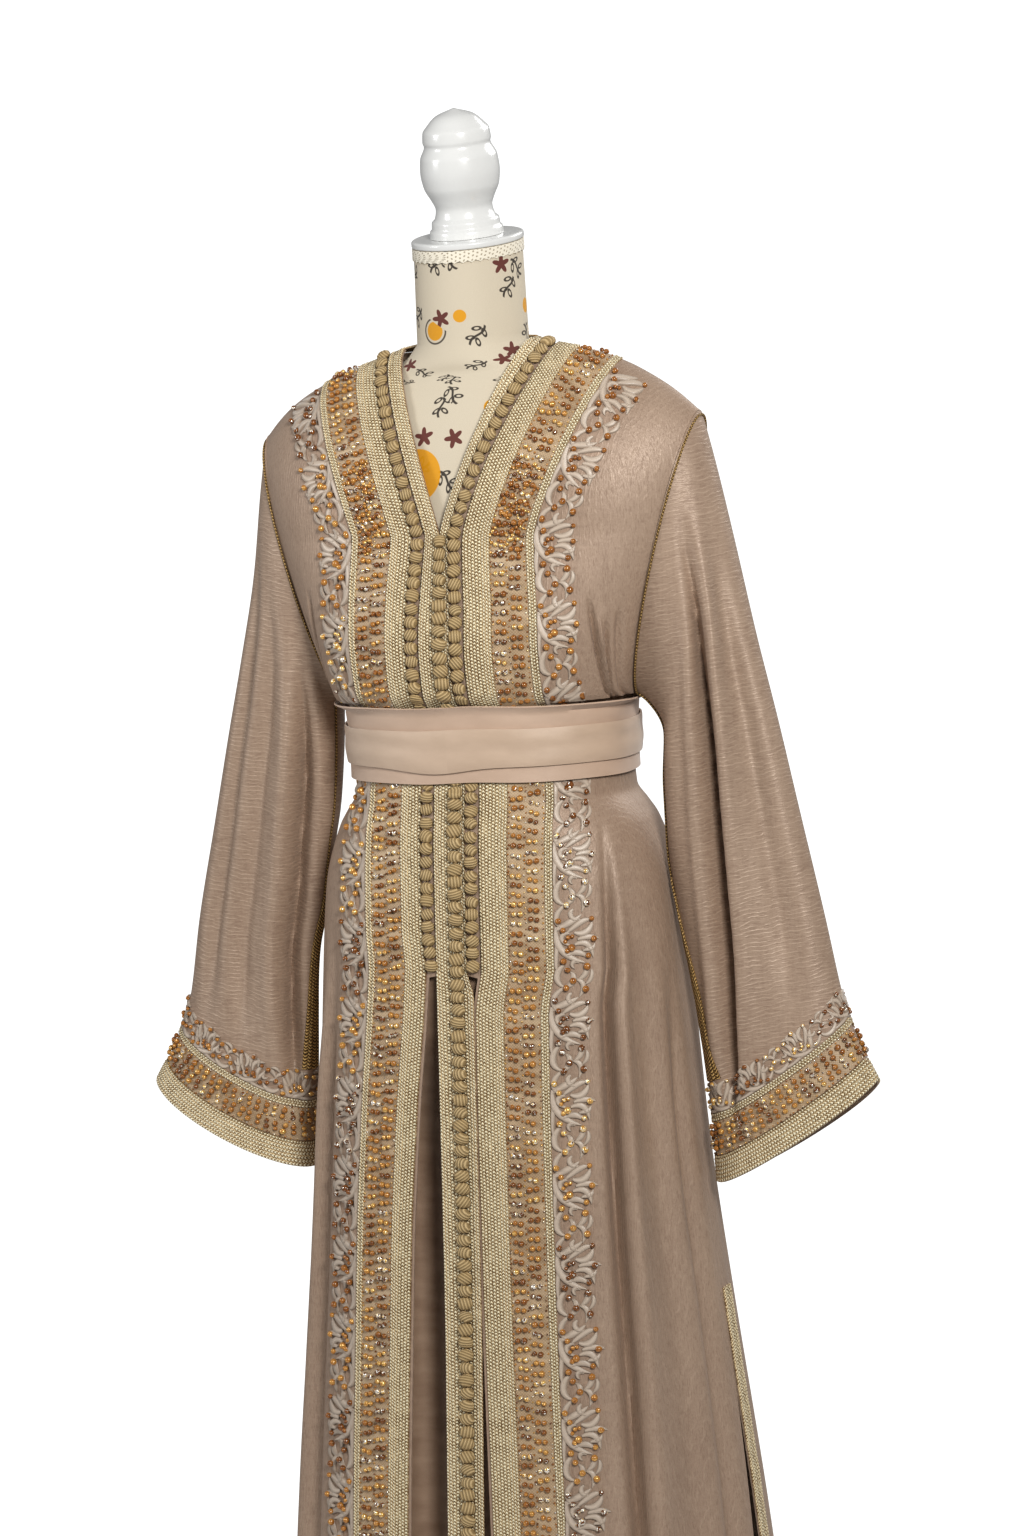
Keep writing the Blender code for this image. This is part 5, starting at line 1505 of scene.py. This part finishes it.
def addClosing():
    heights = np.append(bodyHeights, body["chest"])
    right = np.array([bandStart(z) for z in heights]) - fronts["knots"] - body["seam"]
    left = right - fronts["inward"]["left"] * ease(fronts["slitTop"] - closing["easing"],
                                                   fronts["slitTop"], heights)
    addBraid("closingBraid", centreTrack(heights, -right, left, closing["steps"]), "braid",
             "centre_strip", 2, 2, belted=True)
    first, last = closing["knots"]
    track = centreTrack(heights, 0 * left + first, np.minimum(last, left - 1),
                        closing["knotSteps"])
    addKnots("aakad.centre", track, "aakad_centre", closing["knotLift"], 81, closing["knotWide"])


addClosing()


def addBack():  # and the braids beside its side slits
    cloth = cloths["back"]
    slit = slice(0, int(np.searchsorted(bodyHeights, fronts["sideSlitTop"])) + 1)
    count = back["sideBraidColumns"]
    places = np.linspace(0, back["sideBraid"], count + 1)
    for side, columns, way in (("left", slice(-count - 1, None), -1),
                               ("right", slice(0, count + 1), 1)):
        lines = cloth.points[slit, columns][:, ::way]
        points = np.array([along(line, places) for line in lines])[:, ::way]
        addBraid("sideBraid." + side, Track(points, cloth.normals[slit, columns]), "braid",
                 "side_braid_" + side, 2, 2)
    addCloth("backCloth", cloth, satinUpright, "back")


def addNeckBraid():
    arms = []
    for side in ("right", "left"):
        arm = np.stack([backNeckLine(halves[side], out)[::2]
                        for out in np.linspace(0, neckBraidWide, 4)], axis=1)
        arm[-1, :, 1] += halfSeam
        arms.append(arm)
    points = np.concatenate([mirror(arms[0][:0:-1]), arms[1]])
    normals = outward(Cloth(points).normals, np.array([0.0, 0.0, 1.0]))
    for end, sign, side in ((0, -1, "right"), (-1, 1, "left")):
        way = shoulderWay(halves[side])
        run = unit(points[end, -1] - points[end, 0])
        normals[end] = unit(np.array([-run[2] * sign * way[0], -run[2] * way[1],
                                      math.hypot(run[0], run[1])]))
    addBraid("neckBraid.back", Track(points, normals), "braid", "neck_braid_back", 2, 1)


addBack()
addNeckBraid()
print("back ready")


def addUnderSeam(side, cloth):
    last = cuffRows["scroll"][0]
    first = int(sleeve["seamStart"] * last)
    narrow, wide = sleeve["seamColumns"][side]
    points, normals = [], []
    for row in range(first, last + 1):
        reach = narrow + (wide - narrow) * (row - first) / (last - first)
        columns = np.linspace(0, reach, 6)
        low = columns.astype(int)
        part = (columns - low)[:, None]
        for grid, made in ((cloth.points, points), (cloth.normals, normals)):
            made.append(grid[row, low] * (1 - part) + grid[row, low + 1] * part)
    # in the darker seam colours: painted shade under the arm
    addBraid("underSeamBraid." + side, Track(np.array(points), unit(np.array(normals))),
             "narrow", "under_seam_braid_" + side, 1, 2, (seamCord, seamCord))


def addSleeve(side, seed):
    cloth = cloths[side]["sleeve"]

    def ring(kind):
        first, last = cuffRows[kind]
        points, normals = (grid[first:last + 1].transpose(1, 0, 2)
                           for grid in (cloth.points, cloth.normals))
        return Track(points, normals, closed=True, inset=sleeve["gap"])

    addBraid("cuffBraid." + side, ring("braid"), "braid", "cuff_braid_" + side, 0, 6,
             cord=sleeve["cuffCord"])
    addGround("cuffGround." + side, ring("beads"), "cuff_beads_" + side)
    addBeads("cuffBeads." + side, ring("beads"), None, seed)
    addBraid("cuffNarrow." + side, ring("narrow"), "narrow", "cuff_narrow_" + side, 1, 1)
    addBorder("cuffBorder." + side, ring("scroll"), "cuff_scroll_" + side, True, seed,
              sleeve["borderScale"])
    addUnderSeam(side, cloth)
    addCloth("sleeve." + side, cloth, satinSleeve, "sleeve_" + side)


addSleeve("left", 110)
addSleeve("right", 130)
print("sleeves ready")


# the skirt's inner layer, seen through the slits
layer = {
    # height, and how far behind the fronts
    "insets": ((32, 34), (254, 34), (500, 34), (610, 33), (720, 26), (790, 15), (835, 8),
               (870, 3.5), (900, 1.9)),
    "folds": ((-0.62, -0.62, 30, 800, 0.18, -9), (-0.22, -0.24, 30, 820, 0.16, 9),
              (0.18, 0.20, 30, 800, 0.18, -10), (0.60, 0.56, 30, 780, 0.18, 8)),
    "reach": 94.0, "columns": 24, "rows": 60, "cloth": 1.4,
}


def addLayer():
    distances = np.linspace(0, layer["reach"], layer["columns"] + 1)
    heights = np.linspace(layer["insets"][0][0], layer["insets"][-1][0], layer["rows"])
    grid = np.array([along(bodyRow(halves["left"], z, -1), distances) for z in heights])
    grid[:, 0, 0] = 0
    cloth = Cloth(np.concatenate([mirror(grid[:, :0:-1]), grid], axis=1))
    behind = np.array([readTable(layer["insets"], 1, z) for z in heights])
    points = cloth.points - cloth.normals * behind[:, None, None]
    reach = points[..., 0] / points[:, -1:, 0]
    made = Cloth(folded(points, cloth.normals, reach, layer["folds"]))
    made.normals[-1] = cloth.normals[-1]
    addCloth("innerLayer", made, innerSatin, "inner_layer",
             layer["cloth"])


addLayer()


# the belt: a band, and a wrap folded over it that dips in front
belt = {
    "clear": 3.8, "cloth": 1.6, "columns": 240, "rows": 14, "inset": 1.5, "bulge": 0.6,
    "wrap": (1036, 1074), "wrapCloth": 1.8, "wrapRows": 17, "wrapGap": 0.6, "wrapBulge": 1.5,
    "dipMiddle": 8, "dipWide": 46, "dipDeep": 6,
}


def fullRing(z):
    front, behind = (bodyRow(halves["left"], z, face) for face in (-1, 1))
    one = np.vstack([front, behind[-2::-1]])
    whole = np.vstack([one, mirror(one)[-2::-1]])
    return along(whole, np.linspace(0, lengthOf(whole), belt["columns"], endpoint=False))


def beltRings(low, high, count, lift, bulge, deep):
    # level rings round the waist, standing off it: fuller between the edges than along them
    share = np.linspace(0, 1, count)[:, None]
    rings = np.array([fullRing(z) for z in np.linspace(low, high, count)])
    x, y = rings[..., 0], rings[..., 1]
    turn = np.arctan2(x, -y)
    middle = np.sin(np.pi * share)
    soft = 0.35 * np.sin(2.6 * np.pi * share + 1.2 * np.sin(2 * turn + 0.6)) * middle
    full = lift + bulge * (middle ** 0.6 + soft)
    points = rings + Cloth(rings, closed=True).normals * full[..., None]
    front = np.exp(-((x + belt["dipMiddle"]) / belt["dipWide"]) ** 2) * (y < 0)
    points[..., 2] += 0.9 * np.sin(3 * turn + 0.5) + 0.5 * np.sin(7 * turn)
    points[..., 2] -= deep * front * (1 - share) ** 1.5
    return Cloth(points, closed=True)


def addBelt():
    lift = belt["clear"] + belt["cloth"]
    band = beltRings(beltHeights["low"] + belt["inset"], beltHeights["high"] - belt["inset"],
                     belt["rows"], lift, belt["bulge"], 0)
    # its satin a little darker than the wrap's, as painted shade from the wrap
    addCloth("beltBand", band, shadedBandSatin, "belt_band",
             belt["cloth"])
    lift += 3 * body["seam"] + belt["wrapCloth"] + belt["wrapGap"]
    wrap = beltRings(*belt["wrap"], belt["wrapRows"], lift, belt["wrapBulge"], belt["dipDeep"])
    addCloth("beltWrap", wrap, beltSatin, "belt_wrap",
             belt["wrapCloth"])


addBelt()
print("belt ready")


# the dress form
form = {
    # height, half width, depth in front, depth behind, middle, squareness
    "rings": (
        (800, 136, 94, 98, 0, 2.2), (850, 152, 104, 112, 0, 2.2), (940, 146, 98, 110, 0, 2.2),
        (1010, 126, 92, 96, 0, 2.2), (1050, 121, 90, 92, 0, 2.2), (1110, 128, 103, 100, 0, 2.2),
        (1170, 142, 113, 109, 0, 2.2), (1230, 156, 105, 113, 0, 2.2), (1290, 172, 94, 109, 0, 2.2),
        (1345, 184, 82, 94, 0, 2.1), (1375, 188, 73, 78, 0, 2.0), (1390, 186, 65, 69, -1, 1.9),
        (1402, 180, 58, 59, -2, 1.9), (1412, 160, 50, 51, -4, 1.9), (1420, 112, 47, 51, -5, 1.9),
        (1428, 86, 50, 54, -4, 1.95), (1437, 66, 52, 53, -2, 2.0), (1448, 56, 53, 54, 0, 2.0)),
    "steps": (4,) * 3 + (5,) * 7 + (3,) * 7, "neckSteps": 13,
    # how much lower the right shoulder lies, and the heights where that starts and ends
    "columns": 132, "tip": 188, "shoulderDrop": 13, "dropStart": (1230, 1370),
    "dropEnd": (1420, 1448),
    "neckTop": 1546, "neckRadius": 54, "tilt": math.radians(8),
    "laceHigh": 12, "laceThick": 1.2, "laceColumns": 240, "laceScallops": 40, "scallop": 1.6,
    "laceOff": 0.3, "capRadius": 56, "capThick": 7, "capGap": 0.6,
    # the finial's heights and radii
    "finial": ((0, 37), (7, 36), (8, 34.4), (16, 33.4), (18, 30.5), (28, 28.2), (36, 31),
               (50, 37.5), (64, 39.4), (78, 38.2), (91, 33), (94, 34), (104, 33), (110, 28.5),
               (119, 19), (126, 0)),
}


def torsoRing(z, turns):
    side, front, behind, middle, power = (readTable(form["rings"], k, z) for k in range(1, 6))
    depth = np.where(np.cos(turns) > 0, front, behind)
    x = side * np.sign(np.sin(turns)) * np.abs(np.sin(turns)) ** (2 / power)
    y = middle - depth * np.sign(np.cos(turns)) * np.abs(np.cos(turns)) ** (2 / power)
    drop = form["shoulderDrop"] * np.clip(-x / form["tip"], 0, 1)
    height = z - drop * ease(*form["dropStart"], z) * (1 - ease(*form["dropEnd"], z))
    return np.stack([x, y, height + 0 * x], axis=1)


def topRing(turns):  # the neck's upper edge, which leans
    x, y = form["neckRadius"] * np.sin(turns), -form["neckRadius"] * np.cos(turns)
    return np.stack([x, y, form["neckTop"] + math.tan(form["tilt"]) * y], axis=1)


def addTorso():
    # the first column is at the back, so the print runs unbroken over the front
    turns = turnsOf(form["columns"]) - math.pi
    levels = spaced([float(row[0]) for row in form["rings"]], form["steps"])
    rings = [torsoRing(z, turns) for z in levels]
    neck = topRing(turns) - rings[-1]
    rings += [rings[-1] + neck * (k + 1) / form["neckSteps"] for k in range(form["neckSteps"])]
    rings = np.array(rings)
    uv = Cloth(rings, rings, True).uv()
    uv[..., 0] -= uv[:, -1:, 0] / 2
    addPiece("torso", loftMesh("torso", rings, uv), printedCotton,
             ("form_torso",))


def addLace():  # an ivory edging round the neck's top, scalloped along its lower edge
    turns, off = turnsOf(form["laceColumns"]), form["laceOff"]
    top = topRing(turns) - (0, 0, off)
    scallop = form["scallop"] * np.abs(np.sin(turns * form["laceScallops"] / 2))
    fall = (form["laceHigh"] - scallop)[:, None] * (0, 0, 1)
    rings = top - fall * np.linspace(1, 0, 7)[:, None, None]
    normals = np.broadcast_to(unit(top * (1, 1, 0)), rings.shape)
    relief = 0.35 * np.sin(np.linspace(0, 3 * math.pi, 7)) ** 2
    outer = rings + normals * (off + form["laceThick"] + relief[:, None, None])
    uv = Cloth(rings, normals, True).uv()
    addPiece("neckLace", shellMesh("lace", outer, rings + normals * off, uv, True), ivoryLace,
             ("neck_lace",))


def softened(profile, radius=1.0, steps=3):  # the same profile with its corners rounded
    points = np.array(profile, float)
    line = [points[0]]
    for before, corner, after in zip(points, points[1:], points[2:]):
        back, ahead = before - corner, after - corner
        reach = min(radius, np.linalg.norm(back) * 0.45, np.linalg.norm(ahead) * 0.45)
        a, b = corner + unit(back) * reach, corner + unit(ahead) * reach
        for t in np.linspace(0, 1, steps + 1):
            line.append(a * (1 - t) ** 2 + 2 * corner * t * (1 - t) + b * t * t)
    return np.array(line + [points[-1]])


def addTurned(name, node, profile, steps, place=(0, 0, 0), tilt=0.0):
    # turned round its own axis, then tilted and set in place; the profile's rows: up, radius
    inner = profile[1:-1]
    inner = inner[inner[:, 1] > 0.01]
    up, radius = inner[:, :1], inner[:, 1:]
    turns, around, count = turnsOf(steps), np.arange(steps), len(inner) * steps
    rings = np.stack(np.broadcast_arrays(radius * np.sin(turns), -radius * np.cos(turns), up),
                     axis=2)
    ends = [(0, 0, profile[0][0]), (0, 0, profile[-1][0])]
    points = np.concatenate([rings.reshape(-1, 3), ends])
    points = points @ np.array(Matrix.Rotation(tilt, 3, "X")).T + place
    cells, _ = gridCells(len(inner), steps, True)
    onward = (around + 1) % steps
    first = np.stack([np.full(steps, count), onward, around], axis=1)
    last = np.stack([np.full(steps, count + 1), count - steps + around,
                     count - steps + onward], axis=1)
    mesh = makeMesh(name, points, [cells, first, last])
    mesh.set_sharp_from_angle(angle=math.radians(50))
    addPiece(name, mesh, whitePaint, (node,))


def addHead():
    thick, radius, tilt = form["capThick"], form["capRadius"], form["tilt"]
    cap = softened([(0, 0), (0, radius - 1), (1.2, radius), (thick - 1.5, radius),
                    (thick, radius - 2), (thick, 0)])
    addTurned("neckCap", "neck_cap", cap, 96, (0, 0, form["neckTop"] + 0.3), tilt)
    heights = np.linspace(0, form["finial"][-1][0], 90)
    shape = [(z, readTable(form["finial"], 1, z)) for z in heights]
    up = thick + form["capGap"]
    addTurned("finial", "finial", np.array([(0, 0)] + shape), 72,
              (0, -math.sin(tilt) * up, form["neckTop"] + math.cos(tilt) * up), tilt)


stand = {"poleRadius": 14, "poleLow": 22.3, "poleTop": 799.7, "baseRadius": 165,
         "baseThick": 22, "baseEdge": 4}


def addStand():
    low, high, radius = stand["poleLow"], stand["poleTop"], stand["poleRadius"]
    pole = softened([(low, 0), (low, radius), (high, radius), (high, 0)], 0.8)
    addTurned("pole", "pole", pole, 48)
    thick, edge, radius = stand["baseThick"], stand["baseEdge"], stand["baseRadius"]
    base = softened([(0, 0), (0, radius), (thick - edge, radius), (thick, radius - edge),
                     (thick, 0)], 2.0)
    addTurned("base", "base", base, 128)


addTorso()
addLace()
addHead()
addStand()
print("form ready")


# the gold cord sewn along the armholes and down the under-seams
cord = {"radius": 1.15, "sides": 7, "step": 3.0, "raised": 0.8, "column": 4}


def addCord(name, line, normals, closed=False):
    if closed:
        line, normals = (np.vstack([grid, grid[:1]]) for grid in (line, normals))
    run = runOf(line)
    places, v = evenPlaces(run[-1], cord["step"], closed)
    path = along(line, places)
    up = unit(onRun(run, normals, places))
    way = np.gradient(path, axis=0)
    if closed:
        way = np.roll(path, -1, axis=0) - np.roll(path, 1, axis=0)
    side = unit(np.cross(way, up))
    turns = turnsOf(cord["sides"])[:, None]
    reach = side[:, None] * np.cos(turns) + up[:, None] * (np.sin(turns) + cord["raised"])
    u = np.linspace(0, 3, cord["sides"] + 1) * braidShape["column"]
    mesh = loftMesh(name, path[:, None] + reach * cord["radius"], uvGrid(u, v), closed)
    addPiece(name, mesh, seamCord)


for side in ("left", "right"):
    arm = cloths[side]["sleeve"]
    addCord("armholeCord." + side, arm.points[1], arm.normals[1], True)
    seam = slice(2, int(sleeve["seamStart"] * len(arm.points)))
    addCord("seamCord." + side, arm.points[seam, cord["column"]],
            arm.normals[seam, cord["column"]])
print("cords ready")


floor = {"radius": 760, "sides": 128, "top": -0.5}


def addFloor():
    turns, radius = turnsOf(floor["sides"]), floor["radius"]
    points = np.stack([radius * np.cos(turns), radius * np.sin(turns),
                       np.full(floor["sides"], floor["top"])], axis=1)
    tree = newMaterial("paleFloor", (0.80, 0.80, 0.80, 1), 0.8, Emission_Strength=0.12,
                       Emission_Color=(1, 1, 1, 1))
    mesh = makeMesh("floor", points, [np.arange(floor["sides"])[None, :]])
    mesh.materials.append(tree.material)
    linked("floor", mesh)


def addLight(name, place, target, size, power, colour=(1, 1, 1), spread=180):
    lamp = bpy.data.lights.new(name, "AREA")
    lamp.shape, lamp.size, lamp.size_y = "RECTANGLE", size[0], size[1]
    lamp.energy, lamp.color, lamp.spread = power, colour, math.radians(spread)
    holder = linked(name, lamp)
    holder.location = place
    way = Vector(target) - Vector(place)
    holder.rotation_euler = way.to_track_quat("-Z", "Y").to_euler()


view = {"turn": math.radians(24), "rise": math.radians(6.3), "roll": math.radians(3.0),
        "distance": 5.0, "target": (0, 0, 1.05), "tall": 1.536, "shift": (18 / 1536, -28 / 1536)}


def addCamera():
    lens = bpy.data.cameras.new("camera")
    lens.sensor_fit, lens.sensor_height = "VERTICAL", 36
    lens.lens = view["distance"] / view["tall"] * 36
    lens.shift_x, lens.shift_y = view["shift"]
    holder = linked("camera", lens)
    holder.matrix_world = (Matrix.Translation(view["target"])
                           @ Matrix.Rotation(view["turn"], 4, "Z")
                           @ Matrix.Rotation(math.pi / 2 - view["rise"], 4, "X")
                           @ Matrix.Rotation(-view["roll"], 4, "Z")
                           @ Matrix.Translation((0, 0, view["distance"])))
    bpy.context.scene.camera = holder


def addWorld():  # the studio's walls: white where they are seen, softer where they only light
    world = bpy.data.worlds.new("studio")
    world.use_nodes = True
    tree = Tree(world.node_tree)
    background = world.node_tree.nodes["Background"]
    background.inputs[0].default_value = (1.0, 1.0, 1.0, 1)
    tree.feed(background.inputs[1], 0.25 + tree.node("ShaderNodeLightPath") * 0.75)
    bpy.context.scene.world = world
    bpy.context.scene.view_settings.view_transform = "Standard"
    bpy.context.scene.view_settings.look = "Medium High Contrast"


addFloor()
addLight("key", (2.3, -2.9, 2.6), (0, 0, 1.35), (0.9, 0.9), 22, (1.0, 0.992, 0.975), 80)
addLight("fill", (-2.7, -2.3, 2.2), (0, 0, 1.25), (1.0, 1.3), 8.5, (0.98, 0.99, 1.0), 80)
addLight("rim", (1.6, 3.0, 3.2), (0, 0, 1.1), (2.5, 2.0), 60)
addWorld()
addCamera()
print("studio ready")

for shape in [thing for thing in bpy.data.objects if thing.name.endswith("Master")]:
    bpy.data.objects.remove(shape)
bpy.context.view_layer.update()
total = sum(len(thing.data.polygons) for thing in bpy.data.objects if thing.type == "MESH")
print("faces in all:", total)
